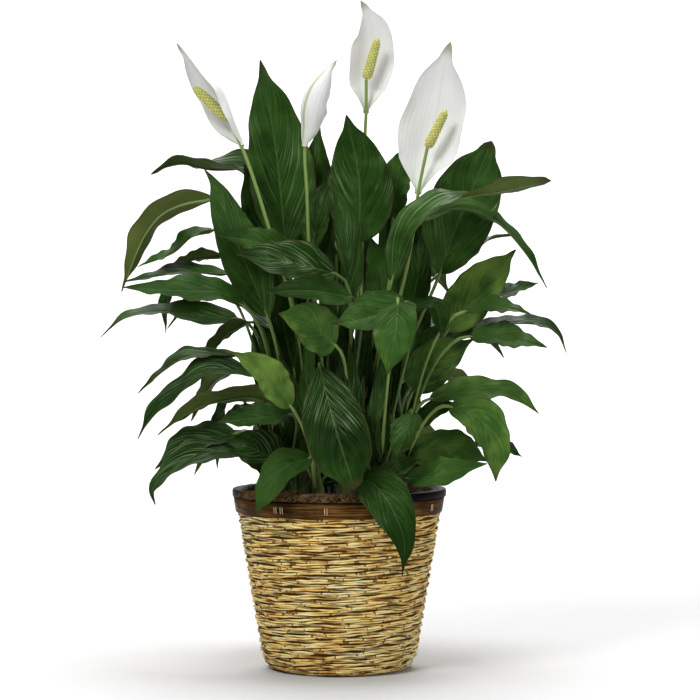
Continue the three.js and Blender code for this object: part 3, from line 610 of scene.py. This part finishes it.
def leaf_paint():
    paint = Paint("leaf_green", Specular_Tint=(0.74, 0.95, 0.6))
    across, along, tone, under = paint.uvs()
    out = paint.math("ABSOLUTE", across * 2.0 - 1.0)
    slant = along - (out * 0.4 + out * out * 0.14)
    phase = slant * (TURN * 15) + paint.noise(14.0) * 9.0
    vein = paint.sine(phase).spread(0.45, 1.0)
    fine = paint.sine(phase * 2.6).spread(0.3, 1.0)
    streak = paint.drawn_noise((slant * 17.0, out * 1.6, tone * 40.0), 3.0, 0.65)
    stripe = paint.drawn_noise((slant * 46.0, out * 1.3, tone * 77.0))
    cloud = paint.noise(19.0, 3.0, 0.6)
    grain = paint.noise(420.0)

    # Dark leaves are striped and glossy, with pale stripes of painted highlight; light ones are plain
    striped = tone.spread(0.3, 0.6, 1.0, 0.3)
    level = tone * 0.8 + (cloud - 0.5) * 1.1 + (streak - 0.5) * (striped * 0.5 + 0.28)
    level = paint.math("ADD", level, 0.12, clamp=True)
    green = paint.ramp(level, (0.0, 0.004, 0.014, 0.002), (0.35, 0.013, 0.04, 0.005),
                       (0.7, 0.04, 0.1, 0.018), (1.0, 0.146, 0.25, 0.046))
    line = stripe.spread(0.52, 0.66)
    patch = paint.noise(11.0, 3.0).spread(0.44, 0.6)
    veined = paint.mix(vein * 0.07, green, (0.06, 0.13, 0.026))
    # Pale lines along the veins are painted highlights
    painted_highlight = paint.mix(line * patch * striped * 0.54, veined, (0.2, 0.31, 0.135))
    ribbed = paint.mix(out.spread(0.012, 0.045, 1.0, 0.0) * 0.42, painted_highlight, (0.085, 0.16, 0.045))
    olive = paint.mix(level, (0.032, 0.056, 0.011), (0.145, 0.185, 0.05))
    olive = paint.mix(vein * 0.3, olive, (0.1, 0.15, 0.036))
    margin = (out + cloud * 0.1).spread(0.97, 1.06, 0.0, 0.75)
    dry = paint.math("MAXIMUM", margin, along.spread(0.9, 0.99, 0.0, 0.7))
    gloss = (line * patch.spread(0.0, 1.0, 0.12, 0.6) + 0.045) * (striped * 0.55 + 0.4)
    paint.set("Specular IOR Level", gloss * under.spread(0.0, 1.0, 1.0, 0.5))
    colour = paint.mix(dry, paint.mix(under, ribbed, olive), (0.06, 0.036, 0.02))
    height = vein * -0.55 + fine * 0.2 + (streak * 1.4 + grain * 0.1)
    return paint.finish(colour, streak * 0.22 + 0.22 + under * 0.2, height, 0.62, 0.8)


def stalk_paint():
    paint = Paint("stalk_green", 0.45)
    around_stalk, along, tone, _ = paint.uvs()
    streak = paint.drawn_noise((around_stalk * 4.0, along), scale=6.0)
    fleck = paint.noise(90.0, 3.0)
    green = paint.ramp(tone * 0.55 + streak * 0.45, (0.1, 0.022, 0.05, 0.008),
                       (0.45, 0.065, 0.13, 0.02), (0.9, 0.23, 0.33, 0.08))
    foot = along.spread(0.0, 0.22, 0.75, 0.0)
    colour = paint.mix(foot * fleck, green, (0.16, 0.13, 0.06))
    return paint.finish(colour, fleck * 0.2 + 0.32, streak + fleck * 0.4, 0.3, 0.3)


def straw_paint():
    paint = Paint("straw", 0.12, Specular_Tint=(1.0, 0.85, 0.6))
    across, along, tone, front = paint.uvs()
    length = paint.drawn_noise((along * 0.045, tone * 61.0), 3.0)
    patch = paint.noise(16.0, 3.0, 0.6)
    fibre = paint.drawn_noise((across * 9.0, along * 0.05, tone * 23.0), 3.0, 0.6)
    streak = paint.drawn_noise((across * 2.5, along * 0.05, tone * 87.0))
    straw = paint.ramp(length * 0.72 + patch * 0.4 + (fibre - 0.5) * 0.36,
                       (0.34, 0.16, 0.05, 0.012), (0.42, 0.5, 0.23, 0.055),
                       (0.5, 0.9, 0.6, 0.175), (0.6, 1.0, 0.8, 0.32), (0.74, 1.0, 0.94, 0.6))
    streaked = paint.mix(streak.spread(0.58, 0.68, 0.0, 0.72), straw, (0.24, 0.085, 0.016))

    # Strands have a dark joint about every 47 mm
    beat = along * (TURN / 47) + tone * 91.0 + length * 9.0
    joint = paint.sine(beat).spread(0.955, 0.99, 0.0, 0.85)
    jointed = paint.mix(joint, streaked, (0.11, 0.036, 0.004))

    # Painted shade: the colour darkens where a strand lies deep in the weave, on its inner side and on its
    # underside
    turn = across * TURN
    outward = paint.math("COSINE", turn).spread(-0.2, 0.4, 0.12, 1.0)
    upward = paint.sine(turn).spread(-1.0, -0.2, 0.4, 1.0)
    painted_light = front.spread(0.0, 0.35, 0.45, 1.0) * (outward * upward)
    colour = paint.mix(painted_light, (0.11, 0.04, 0.003), jointed)
    return paint.finish(colour, fibre * 0.3 + 0.4, fibre, 0.9, 0.8)


def hoop_paint():
    paint = Paint("hoop_wood", 0.03)
    across, along, _, _ = paint.uvs()
    grain = paint.drawn_noise((across * 26.0, along * 0.018), 4.0, 0.6)
    wood = paint.ramp(grain * 0.7 + paint.noise(26.0, 3.0) * 0.4, (0.35, 0.01, 0.004, 0.001),
                      (0.52, 0.05, 0.023, 0.005), (0.7, 0.205, 0.1, 0.026))
    return paint.finish(wood, grain * 0.25 + 0.35, grain, 0.45, 0.5)


# Painted shade: a dark brown for the lining behind the weave
def weave_shade_paint():
    paint = Paint("weave_shadow", 0.2)
    grain = paint.noise(160.0, 3.0)
    colour = paint.ramp(grain, (0.3, 0.07, 0.024, 0.001), (0.7, 0.17, 0.07, 0.01))
    return paint.finish(colour, grain * 0.2 + 0.7, grain, 0.4, 0.6)


def stitch_paint():
    paint = Paint("stitch_cane", 0.4)
    grain = paint.noise(300.0)
    colour = paint.ramp(grain, (0.3, 0.33, 0.2, 0.11), (0.7, 0.6, 0.45, 0.28))
    return paint.finish(colour, grain * 0.2 + 0.4)


def plastic_paint():
    paint = Paint("black_plastic", 0.02, Specular_Tint=(1.0, 0.85, 0.7))
    dust = paint.noise(30.0, 4.0, 0.65)
    colour = paint.ramp(dust, (0.45, 0.004, 0.004, 0.004), (0.8, 0.016, 0.013, 0.01))
    return paint.finish(colour, dust * 0.3 + 0.3, paint.noise(700.0), 0.12, 0.2)


def soil_paint():
    paint = Paint("potting_mix", 0.2)
    crumbs = paint.noise(240.0, 5.0, 0.7)
    colour = paint.ramp(crumbs, (0.35, 0.01, 0.006, 0.003), (0.6, 0.05, 0.027, 0.013),
                        (0.78, 0.13, 0.08, 0.042))
    return paint.finish(colour, crumbs * 0.2 + 0.75, crumbs, 0.8, 2.0)


def moss_paint():
    paint = Paint("dry_moss", 0.25)
    cloud = paint.noise(70.0, 3.0)
    colour = paint.ramp(paint.uvs()[2] * 0.7 + cloud * 0.4, (0.2, 0.035, 0.018, 0.007),
                        (0.5, 0.13, 0.07, 0.026), (0.8, 0.3, 0.185, 0.07))
    return paint.finish(colour, cloud * 0.2 + 0.7)


def spathe_paint():
    paint = Paint("spathe_white", 0.3)
    across, along, tone, back = paint.uvs()
    out = paint.math("ABSOLUTE", across * 2.0 - 1.0)
    vein = paint.sine(out * (TURN * 7)).spread(0.3, 1.0)
    cloud = paint.noise(24.0, 3.0)
    rib = out.spread(0.01, 0.09, 1.0, 0.0)
    foot = along.spread(0.0, 0.28, 1.0, 0.0)
    tip = along.spread(0.88, 0.99)
    white = paint.mix(cloud, (0.7, 0.7, 0.7), (0.83, 0.83, 0.83))
    veined = paint.mix(vein * 0.05, white, (0.5, 0.56, 0.42))
    ribbed = paint.mix(rib * (back * 0.8 + 0.12), veined, (0.38, 0.46, 0.18))
    footed = paint.mix(foot * 0.3, ribbed, (0.5, 0.64, 0.33))
    greened = paint.mix(tone * 0.3, footed, (0.62, 0.72, 0.45))
    colour = paint.mix(tip * 0.85, greened, (0.26, 0.3, 0.13))
    return paint.finish(colour, cloud * 0.15 + 0.4, vein + cloud * 0.6, 0.35, 0.5)


def spadix_paint():
    paint = Paint("spadix_cream", 0.3, Subsurface_Weight=0.15, Subsurface_Scale=0.003)
    height, _, tone, _ = paint.uvs()
    grain = paint.noise(500.0)
    # Each floret is darker at its foot: painted shade between the florets
    colour = paint.ramp(height * 0.65 + tone * 0.3, (0.0, 0.26, 0.27, 0.06), (0.4, 0.56, 0.54, 0.15),
                        (0.9, 0.84, 0.8, 0.36))
    return paint.finish(colour, grain * 0.2 + 0.55, grain, 0.4, 0.3)


def floor_paint():
    paint = Paint("studio_floor", 0.1)
    cloud = paint.noise(2.0)
    colour = paint.mix(cloud, (0.65, 0.65, 0.652), (0.67, 0.67, 0.672))
    return paint.finish(colour, cloud * 0.1 + 0.8)


# Leaves
def width_share(t, swell, taper):
    """The width at each place along a blade, as a share of the widest."""
    widest = swell / (swell + taper)
    return t**swell * (1 - t) ** taper / (widest**swell * (1 - widest) ** taper)


def stalk_path(crown, base, direction, fan):
    """A stalk from its place in the crown, first upright, then in line with the blade."""
    outward = unit(np.array([base[0] - crown.x, base[1] - crown.y, 0.0]))
    cosine, sine = math.cos(fan), math.sin(fan)
    x, y, _ = outward
    root = np.array([x * cosine - y * sine, x * sine + y * cosine, 0.0])
    start = np.array([crown.x, crown.y, CROWN_TOP - ROOT_DEPTH]) + root * ROOT_CIRCLE
    length = np.linalg.norm(base - start)
    rise = start + np.array([0.0, 0.0, length * STALK_RISE]) + outward * length * STALK_SPREAD
    return bezier_path(start, rise, base - direction * length * STALK_ARRIVAL, base)


def blade_lift(leaf, order, t, half, rng):
    """How high a blade stands beside its midrib: its fold, slow waves, fine ripples and a groove."""
    reach = np.abs(ACROSS)
    left = ACROSS < 0
    swing = leaf.width * 0.055 * np.sin(math.pi * t)
    wave = swing * np.sin(2 * TURN * t + 2.1 * order + np.where(left, 0.0, 1.9)) * reach**1.7
    ripple_phase = np.where(left, rng.uniform(0, 6), rng.uniform(0, 6))
    ripples = rng.uniform(4.5, 6.5)
    ripple = 0.55 * swing * np.sin(TURN * ripples * t + ripple_phase) * reach**2.2
    groove = -0.5 * hump(ACROSS * half, 0, 1.4)
    return half * math.sin(math.radians(leaf.fold)) * reach**1.15 + wave + ripple + groove


def add_leaf(parts, leaf, crown, order, rng, steps=BLADE_STEPS):
    blade_path = smooth_path(leaf.midrib)
    fan = FAN * (order - (len(crown.leaves) - 1) / 2)
    stalk = stalk_path(crown, blade_path.at(0.0), blade_path.tangents(0.0), fan)
    stalk_t = np.linspace(0, 1, STALK_STEPS, endpoint=False)
    t = shares(steps + 1)
    centres = np.concatenate([stalk.at(stalk_t), blade_path.at(t)])
    tangents = np.concatenate([stalk.tangents(stalk_t), blade_path.tangents(t)])
    sides = carried_sides(tangents, STALK_STEPS + steps // 2, leaf.across)
    sign = 1 if leaf.midrib[-1][0] < leaf.midrib[0][0] else -1
    twist = math.radians(leaf.twist) * sign * (t - 0.5)
    sides[STALK_STEPS:] = rotated(sides[STALK_STEPS:], tangents[STALK_STEPS:], twist)
    up = unit(np.cross(sides, tangents))[STALK_STEPS:]

    drawn_tip = 1 - 0.3 * hump(t, 0.91, 0.06)
    half = np.maximum(0.7, leaf.width / 2 * width_share(t, leaf.swell, leaf.taper) * drawn_tip)[:, None]
    lift = blade_lift(leaf, order, t[:, None], half, rng)
    out = half * math.cos(math.radians(leaf.fold)) * ACROSS
    surface = centres[STALK_STEPS:, None] + sides[STALK_STEPS:, None] * out[..., None]
    surface += up[:, None] * lift[..., None]
    skin = up[:, None] * BLADE_SKIN
    drawn_tone = rng.uniform(0.08, 0.48)
    tone = drawn_tone if leaf.tone is None else leaf.tone
    parts.sheet(surface + skin, surface - skin, pair((ACROSS + 1) / 2, t[:, None]), tone, 0.4)

    # The stalk runs on under the blade as its midrib
    rib_t = t[:int(steps * 0.94) + 1]
    keep = STALK_STEPS + len(rib_t)
    rib = STALK_RADIUS * (1 - 0.88 * rib_t)
    line = centres[:keep].copy()
    line[STALK_STEPS:] -= up[:len(rib_t)] * ((rib * 0.95 + 0.5) * smoothstep(0, 0.06, rib_t))[:, None]
    sheath = 2.1 * (1 - smoothstep(0.02, 0.4, stalk_t))
    knee = 0.35 * hump(stalk_t, 0.93, 0.05)
    radii = np.concatenate([STALK_RADIUS + sheath + knee, rib])
    along = np.concatenate([stalk_t, 1 + rib_t])
    stalk_tone = (tone + rng.uniform(-0.1, 0.35), 0.5)
    parts.tube(line, tangents[:keep], radii, 8, along, stalk_tone, 1, sides[:keep])


def add_crown_foot(parts, crown, rng):
    z = np.array([CROWN_BOTTOM, 180.0, 192.0, 200.0, 206.0, 210.0, 211.0])[:, None]
    radii = np.array([7.8, 7.6, 7.4, 7.0, 6.2, 4.0, 0.4])[:, None]
    angle = turns(24)
    ridge = 1 + 0.08 * np.sin(5 * angle + rng.uniform(0, 6))
    points = pair(crown.x + np.cos(angle) * ridge * radii, crown.y + np.sin(angle) * ridge * radii, z)
    parts.grid(points, pair(angle / TURN, (z - CROWN_BOTTOM) / 300), (0.5, 0.5), 1, close_columns=True)


def add_young_leaves(parts, crown, rng):
    """Young leaves stand among the stalks."""
    for order, (starts, rises, widths, lean) in enumerate(YOUNG, len(crown.leaves)):
        x = crown.x + rng.uniform(-16, 16)
        front = -crown.y + rng.uniform(-12, 12)
        z = rng.uniform(*starts)
        rise = rng.uniform(*rises)
        tip_x = x * lean + rng.uniform(-12, 12)
        tip = (tip_x, z + rise, front + rng.uniform(-8, 8))
        middle = ((x + tip_x) / 2 + rng.uniform(-4, 4), z + rise / 2, front)
        leaf = blade(rng.uniform(*widths), rng.uniform(0, 55), (x, z, front), middle, tip, fold=34)
        add_leaf(parts, leaf, crown, order, rng, YOUNG_STEPS)


def build_leaves(leaf_green, stalk_green):
    for number, crown in enumerate(CROWNS):
        parts = Parts()
        rng = random.Random(400 + number)
        add_crown_foot(parts, crown, rng)
        for order, leaf in enumerate(crown.leaves):
            add_leaf(parts, leaf, crown, order, rng)
        add_young_leaves(parts, crown, rng)
        for order, leaf in enumerate(crown.inner, len(crown.leaves)):
            add_leaf(parts, leaf, crown, order, rng, YOUNG_STEPS)
        parts.make(f"leaves_{crown.name}", [leaf_green, stalk_green], f"crown_{crown.name}")


# Flowers
def build_scape(flower, stalk_green):
    """The stalk, upright out of the soil and up to the foot of the spadix."""
    x, y = flower.root
    upright = [np.array([x, y, FLOWER_FOOT + rise], float) for rise in (0, 25, 50, 75)]
    path = smooth_path([*upright, *seen(*flower.way, flower.hood[0], flower.spadix[0])])
    t = shares(60)
    stalk = Parts()
    tone = pair(0.7 + 0.4 * t[:, None], np.full((1, 10), 0.5))
    stalk.tube(path.at(t), path.tangents(t), 2.5 - 0.7 * t, 10, t, tone)
    stalk.make(f"flower_{flower.name}_scape", [stalk_green], f"flower_{flower.name}_stalk")


def build_hood(flower, white, rng):
    """The spathe: a sheet curved across its length, clasping the stalk at its foot."""
    facing = unit(np.array(flower.facing, float))
    clasp_wrap = math.radians(CLASP_DEGREES)
    curve = smooth_path(seen(*flower.hood))
    t = shares(41)
    tangent = curve.tangents(t)
    up = unit(facing - (tangent @ facing)[:, None] * tangent)
    side = np.cross(tangent, up)
    clasping = np.maximum(0, 1 - t / CLASP_SHARE)
    wrap = math.radians(flower.wrap) * (1 - clasping) + clasp_wrap * clasping
    width = flower.width * width_share(t, 0.75, 0.95) * (1 - 0.35 * hump(t, 0.9, 0.07))
    radius = (np.maximum(np.maximum(1.4, width), CLASP_RADIUS * clasp_wrap * clasping) / wrap)[:, None]
    back = curve.at(t) - up * (CLASP_RADIUS * clasping)[:, None]

    share = np.linspace(-0.5, 0.5, 21)[None]
    angle = wrap[:, None] * share
    arched = np.sin(math.pi * t)[:, None]
    flutter_phase = rng.uniform(0, 6)
    flutter = width[:, None] * 0.03 * np.sin(TURN * 2.6 * t[:, None] + np.sign(share) + flutter_phase)
    flutter = flutter * np.abs(2 * share) ** 3 * arched
    rib = 0.5 * hump(share, 0, 0.035) * arched
    faces = []
    for offset in (HOOD_SKIN, -HOOD_SKIN):
        reach = radius - offset - flutter - rib
        forward = (radius - reach * np.cos(angle))[..., None]
        sideways = (reach * np.sin(angle))[..., None]
        faces.append(back[:, None] + up[:, None] * forward + side[:, None] * sideways)
    spathe = Parts()
    spathe.sheet(*faces, pair(share + 0.5, t[:, None]), 0.1, 0.0)
    spathe.make(f"flower_{flower.name}_hood", [white], f"flower_{flower.name}_spathe")


def build_spike(flower, cream, rng):
    """The spadix: a round-ended rod with small florets along a spiral."""
    foot, tip = seen(*flower.spadix)
    length = np.linalg.norm(tip - foot)
    direction = unit(tip - foot)
    rod = Path([foot, tip])
    t = shares(26)
    roundness = np.sqrt(np.maximum(0, 1 - np.abs(2 * t - 1) ** 7))
    radii = np.maximum(0.3, length / 8 * roundness * (1 - 0.25 * t))
    spadix = Parts()
    spadix.tube(rod.at(t), rod.tangents(t), radii - 0.25, 16, t, (0.2, 0.0))
    axis_side = unit(np.cross(direction, np.array([0.0, 1.0, 0.2])))
    axis_up = np.cross(axis_side, direction)
    florets = int(length * 3.3)
    angle = turns(7)[:, None]
    for k in range(florets):
        at = (k + 0.5) / florets
        outward = axis_side * math.cos(k * SPIRAL_STEP) + axis_up * math.sin(k * SPIRAL_STEP)
        across = np.cross(direction, outward)
        radius = float(np.interp(at, t, radii))
        size = 1.3 * (0.72 + 0.28 * radius / (length / 8))
        centre = foot + direction * at * length + outward * (radius - 0.6)
        circle = across * np.cos(angle) + direction * np.sin(angle)
        dome = ((1.0, 0.0, 0.0), (0.85, 0.5, 0.4), (0.45, 0.85, 0.9), (0.05, 0.95, 1.0))
        rings = [centre + circle * size * spread + outward * rise * size for spread, rise, _ in dome]
        run = pair(np.array(dome)[:, 2:], np.full((1, 7), at))
        spadix.grid(np.array(rings), run, (rng.random(), 0.0), close_columns=True)
    spadix.make(f"flower_{flower.name}_spike", [cream], f"flower_{flower.name}_spadix")


def build_flowers(stalk_green):
    white, cream = spathe_paint(), spadix_paint()
    for number, flower in enumerate(FLOWERS):
        rng = random.Random(90 + number)
        build_scape(flower, stalk_green)
        build_hood(flower, white, rng)
        build_spike(flower, cream, rng)


# Basket and pot
def wall_radius(z):
    return CORNER[-1][0] + (z - CORNER[-1][1]) * FLARE


def wander(rng, angle, *waves):
    """A sum of waves round the basket, each with its count and size, and a phase of its own."""
    return sum(size * np.sin(count * angle + rng.uniform(0, 6)) for count, size in waves)


def basket_rows():
    """The radius and height of each row of the weave, and the way up the wall there."""
    low = CORNER[-1][1]
    pitch = (BAND_LOW - low) / ROWS
    corner = smooth_path([(r, 0, z) for r, z in CORNER])
    up = unit(np.array([FLARE, 1.0]))
    for row in range(-CORNER_ROWS, ROWS):
        if row < 0:
            share = 1 + (row + 0.5) * pitch / corner.length
            spot, lean = corner.at(share), corner.tangents(share)
            yield row, spot[0], spot[2], np.array([lean[0], lean[2]])
        else:
            z = low + (row + 0.5) * pitch
            yield row, wall_radius(z), z, up


def build_basket(straw, shadow):
    rng = random.Random(77)
    parts = Parts()
    angle = turns(WAVES * WAVE_STEPS)[:, None]
    roll = np.linspace(-math.pi, math.pi, STRAND_SIDES, endpoint=False) + math.pi / STRAND_SIDES

    # Each row is a pair of strands that weave in and out together
    for row, r0, z0, lean in basket_rows():
        weave = WAVES * angle + math.pi * row + rng.uniform(-0.7, 0.7)
        weave = weave + wander(rng, angle, (2, 0.5), (5, 0.6))
        for pair_side in (-1, 1):
            phase = weave + wander(rng, angle, (3, 0.3), (9, 0.5), (14, 0.35))
            front = 0.5 + 0.5 * np.cos(phase)
            bulge = 1 + wander(rng, angle, (11, 0.12), (23, 0.12), (37, 0.1))
            height = (0.78 + 0.42 * front) * bulge
            depth = (0.9 + 0.55 * front) * bulge
            off = -1.3 + 1.5 * front + wander(rng, angle, (6, 0.2), (17, 0.25))
            apart = pair_side * (0.74 + 0.46 * front)
            uneven = wander(rng, angle, (3, 0.3), (7, 0.3), (13, 0.25), (29, 0.15))
            outwards = off + depth * np.cos(roll)
            upwards = 0.7 * np.sin(weave) + apart + uneven + height * np.sin(roll)
            radius = r0 + lean[1] * outwards + lean[0] * upwards
            z = np.maximum(z0 - lean[0] * outwards + lean[1] * upwards, 0.15)
            tone = pair(np.full((1, STRAND_SIDES), rng.random()), front)
            parts.loop(radius, angle, z, pair(roll / TURN, angle * r0), tone)

    # Flat coils of the bottom
    coarse = turns(60)[:, None]
    for coil in range(COILS):
        middle = 6 + coil * COIL_PITCH
        wobble = 0.4 * np.sin(9 * coarse + rng.uniform(0, 6))
        radius = middle + wobble + 2.1 * np.cos(roll)
        z = 1.9 + 1.4 * np.sin(roll) + 0.2 * wobble
        run = pair(0 * roll, coarse * middle)
        parts.loop(radius, coarse, z, run, (rng.random(), 1.0), flip=True)

    # Dark lining behind the strands, painted shade that shows through the gaps of the weave
    parts.turned([
        (0.1, 2.4), (71.5, 2.4), (77.6, 5.0), (81.4, 11.6), (84.2, 20), (wall_radius(120) - 2.2, 120),
        (wall_radius(189) - 2.0, 189), (wall_radius(189) - 5.5, 189), (wall_radius(120) - 6, 120),
        (80.5, 20), (77.2, 6), (0.1, 6),
    ], 96, 1)
    parts.make("basket_weave", [straw, shadow], "basket")


def is_lapped(degrees):
    """Whether the hoop's end lies over its start there."""
    return (degrees > LAP_DEGREES[0]) & (degrees < LAP_DEGREES[1])


def build_hoop(wood, cane, shadow):
    rng = random.Random(5)
    parts = Parts()
    angle = turns(288)[:, None]
    waver = wander(rng, angle, (2, 0.25), (5, 0.2), (9, 0.12))
    proud, z = np.array([
        (-1.1, 175.6), (-0.6, 175.0), (2.2, 175.1), (2.9, 175.9), (3.0, 183.5), (2.8, 191.0),
        (2.1, 191.8), (-0.7, 191.9), (-1.1, 191.3),
    ]).T
    outside = (proud > 0).astype(float)
    radius = wall_radius(z) + proud + outside * (waver + 0.7 * is_lapped(np.degrees(angle)))
    edge_z = np.minimum(z + outside * 0.25 * np.sin(7 * angle + 1.0), BAND_HIGH)
    run = pair(shares(len(proud)), angle * 117)
    parts.loop(radius, angle, edge_z, run, (0.5, 0.5))

    # Staples in pairs of cane legs, and two dark seams
    staples = (263.2, 234.0, 238.0, 296.0, 330.0, 15, 58, 101, 150, 196)
    legs = [(degree + side, 1, 4.3) for degree in staples for side in (-0.65, 0.65)]
    legs += [(304.5, 2, 3.6), (246.5, 2, 4.6)]
    u = np.linspace(-1, 1, 9)
    for degree, paint, half_height in legs:
        z = 183.6 + u * half_height
        radius = wall_radius(z) + 2.6 + 0.9 * (1 - np.abs(u) ** 6) + (0.7 if is_lapped(degree) else 0.2)
        centres = ringed(radius, math.radians(degree), z)
        radii = 0.6 * np.sqrt(np.maximum(0.02, 1 - u**8))
        parts.fibre(centres, radii, 8, u, (rng.random(), 0.5), paint)
    parts.make("rim_hoop", [wood, cane, shadow], "rim_band")


def build_pot(plastic):
    parts = Parts()
    parts.turned([
        (0.1, 6.6), (70, 6.6), (73.5, 6.8), (74.8, 8.2), (106.2, 191.5), (106.9, 196.5), (108.5, 198.6),
        (111, 199.0), (116.2, 199.0), (117.5, 198.4), (117.8, 196.0), (117.9, 192.6), (119.2, 192.6),
        (119.5, 197.5), (119.3, 199.6), (118.6, 200.7), (117.2, 201.0), (113, 200.9), (108.5, 200.8),
        (106.0, 200.2), (104.9, 198.6), (104.4, 195.5), (104.0, 189.0), (72.9, 9.4), (70, 8.4), (0.1, 8.3),
    ], 180)
    parts.make("pot_liner", [plastic], "grow_pot")


def build_soil(mix):
    rng = random.Random(11)
    parts = Parts()
    parts.turned([
        (0.1, 8.9), (72.0, 8.9), (103.0, 187.9), (90.0, 188.0), (83.4, 189.0), (83.0, 192.5),
        (80.0, SOIL_TOP), (0.1, 193.8),
    ], 96)
    angle = turns(6)
    u = np.array([0.0, 0.35, 0.7, 1.0])[:, None]
    rise = np.array([0.0, 0.75, 0.9, 0.95])[:, None]
    shrink = np.array([1.0, 0.9, 0.5, 0.05])[:, None]
    for _ in range(CRUMBS):
        degree = rng.uniform(0, 360)
        x, y, z = around(degree, 80 * math.sqrt(rng.random()), SOIL_TOP)
        size = rng.uniform(0.8, 2.4)
        lumps = np.array([1 + rng.uniform(-0.3, 0.3) for _ in angle])
        spread = shrink * lumps * size
        points = pair(x + spread * np.cos(angle), y + spread * np.sin(angle), z + rise * size * 0.8)
        parts.grid(points, u[..., None], (rng.random(), 0.5), close_columns=True)
    parts.make("potting_soil", [mix], "soil")


def build_moss(dry):
    rng = random.Random(23)
    parts = Parts()
    angle = turns(160)[:, None]
    lumps = wander(rng, angle, (7, 0.8), (13, 0.7), (29, 0.5))
    radius, height, raised = np.array([
        (84.4, 188.5, 0.0), (84.6, 193.0, 0.4), (87, 195.6, 1.0), (92, 196.8, 1.0), (97, 196.4, 1.0),
        (100.4, 194.0, 0.4), (100.8, 188.5, 0.0),
    ]).T
    run = pair(shares(len(radius)), angle)
    parts.loop(radius, angle, height + raised * lumps, run, (0.25, 0.5))

    # Loose fibres on the ring
    u = shares(6)
    thinning = 1 - 0.7 * u
    for _ in range(MOSS_FIBRES):
        degree = rng.uniform(0, 360)
        x, y, _ = around(degree, rng.uniform(82.5, 101.5), 0)
        reach = rng.uniform(4, 11)
        turn = rng.uniform(0, TURN) + rng.uniform(-1.6, 1.6) * u[1:]
        x = x + np.concatenate([[0], np.cumsum(np.cos(turn) * reach / 5)])
        y = y + np.concatenate([[0], np.cumsum(np.sin(turn) * reach / 5)])
        inside = np.minimum(1, 102.5 / np.hypot(x, y))
        heap = 8 * max(0.0, -math.cos(math.radians(degree - 20))) ** 2 * rng.random()
        z = 195.8 + heap + rng.uniform(0, 3.4) * np.sin(math.pi * u) + rng.uniform(-0.8, 1.4)
        parts.fibre(pair(x * inside, y * inside, z), 0.45 * thinning, 3, u, (rng.random(), 0.5))

    # Fibres that lie over the pot's lip at the front
    over = np.array([(100.5, 197.2), (105.0, 201.2), (111.0, 201.9), (117.3, 202.0), (119.9, 200.2),
                     (120.4, 197.0), (120.5, 193.8)])
    steps = shares(len(over))
    for _ in range(LIP_FIBRES):
        degree = rng.uniform(205, 309)
        share = (rng.uniform(0.1, 0.88) + rng.uniform(0.12, 0.36) * u).clip(0, 1)
        lift = rng.uniform(0.1, 1.1)
        heading = degree + rng.uniform(-4, 4) * u + rng.uniform(-0.8, 0.8) * np.sin(math.pi * u)
        radius = np.interp(share, steps, over[:, 0]) + lift
        z = np.interp(share, steps, over[:, 1]) + lift * (1 - share)
        parts.fibre(ringed(radius, np.radians(heading), z), 0.33 * thinning, 3, u, (rng.random(), 0.5))
    parts.make("moss_bed", [dry], "moss")


# Studio
def build_floor():
    """A floor that bends up into a wall far behind the plant."""
    x = np.linspace(-6000, 6000, 13)[:, None]
    y, z = np.array([
        (-6000, 0), (-3000, 0), (0, 0), (3000, 0), (4200, 60), (5000, 500), (5400, 1400), (5500, 3000),
        (5500, 6000),
    ], float).T
    parts = Parts()
    parts.grid(pair(x, y, z), (0.5, 0.5), (0.5, 0.5), flip=True)
    floor = parts.mesh_object("studio_floor", [floor_paint()])
    floor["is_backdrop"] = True


def add_to_scene(name, data, place, target):
    """A lamp or camera at a place in metres, turned towards the target."""
    obj = bpy.data.objects.new(name, data)
    obj.location = place
    obj.rotation_euler = (Vector(target) - Vector(place)).to_track_quat("-Z", "Y").to_euler()
    scene.collection.objects.link(obj)
    return obj


def build_lamps():
    world = bpy.data.worlds.new("studio_world")
    world.use_nodes = True
    background = world.node_tree.nodes["Background"]
    background.inputs["Color"].default_value = (1.0, 1.0, 1.0, 1.0)
    background.inputs["Strength"].default_value = 0.13
    scene.world = world
    for name, place, target, size, watts in (
        ("key", (-1.3, -2.2, 2.5), (0, 0, 0.35), 1.0, 62),
        ("fill", (1.9, -1.9, 1.2), (0, 0, 0.35), 1.4, 17),
        ("top", (0.05, 0.15, 2.6), (0, 0, 0.3), 1.6, 54),
        ("far_floor", (0, 4.0, 3.2), (0, 4.0, 0), 3.5, 205),
        ("back_wall", (0, 2.6, 2.4), (0, 5.6, 1.4), 3.0, 62),
    ):
        data = bpy.data.lights.new(name, "AREA")
        data.shape = "SQUARE"
        data.size = size
        data.energy = watts
        add_to_scene(name, data, place, target)


def build_camera():
    data = bpy.data.cameras.new("camera")
    data.sensor_width = SENSOR
    data.lens = LENS
    data.clip_end = 50.0
    place = (EYE[0] * MM, -EYE[2] * MM, EYE[1] * MM)
    scene.camera = add_to_scene("camera", data, place, (EYE[0] * MM, 0.0, AIM_HEIGHT * MM))
    scene.view_settings.view_transform = "Standard"


build_floor()
build_lamps()
build_camera()
stalk_green = stalk_paint()
shadow = weave_shade_paint()
build_leaves(leaf_paint(), stalk_green)
build_flowers(stalk_green)
build_basket(straw_paint(), shadow)
build_hoop(hoop_paint(), stitch_paint(), shadow)
build_pot(plastic_paint())
build_soil(soil_paint())
build_moss(moss_paint())

boxes = {"cad": cad_box, "visual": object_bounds()}
plain = {name: [[float(value) for value in corner] for corner in box] for name, box in boxes.items()}
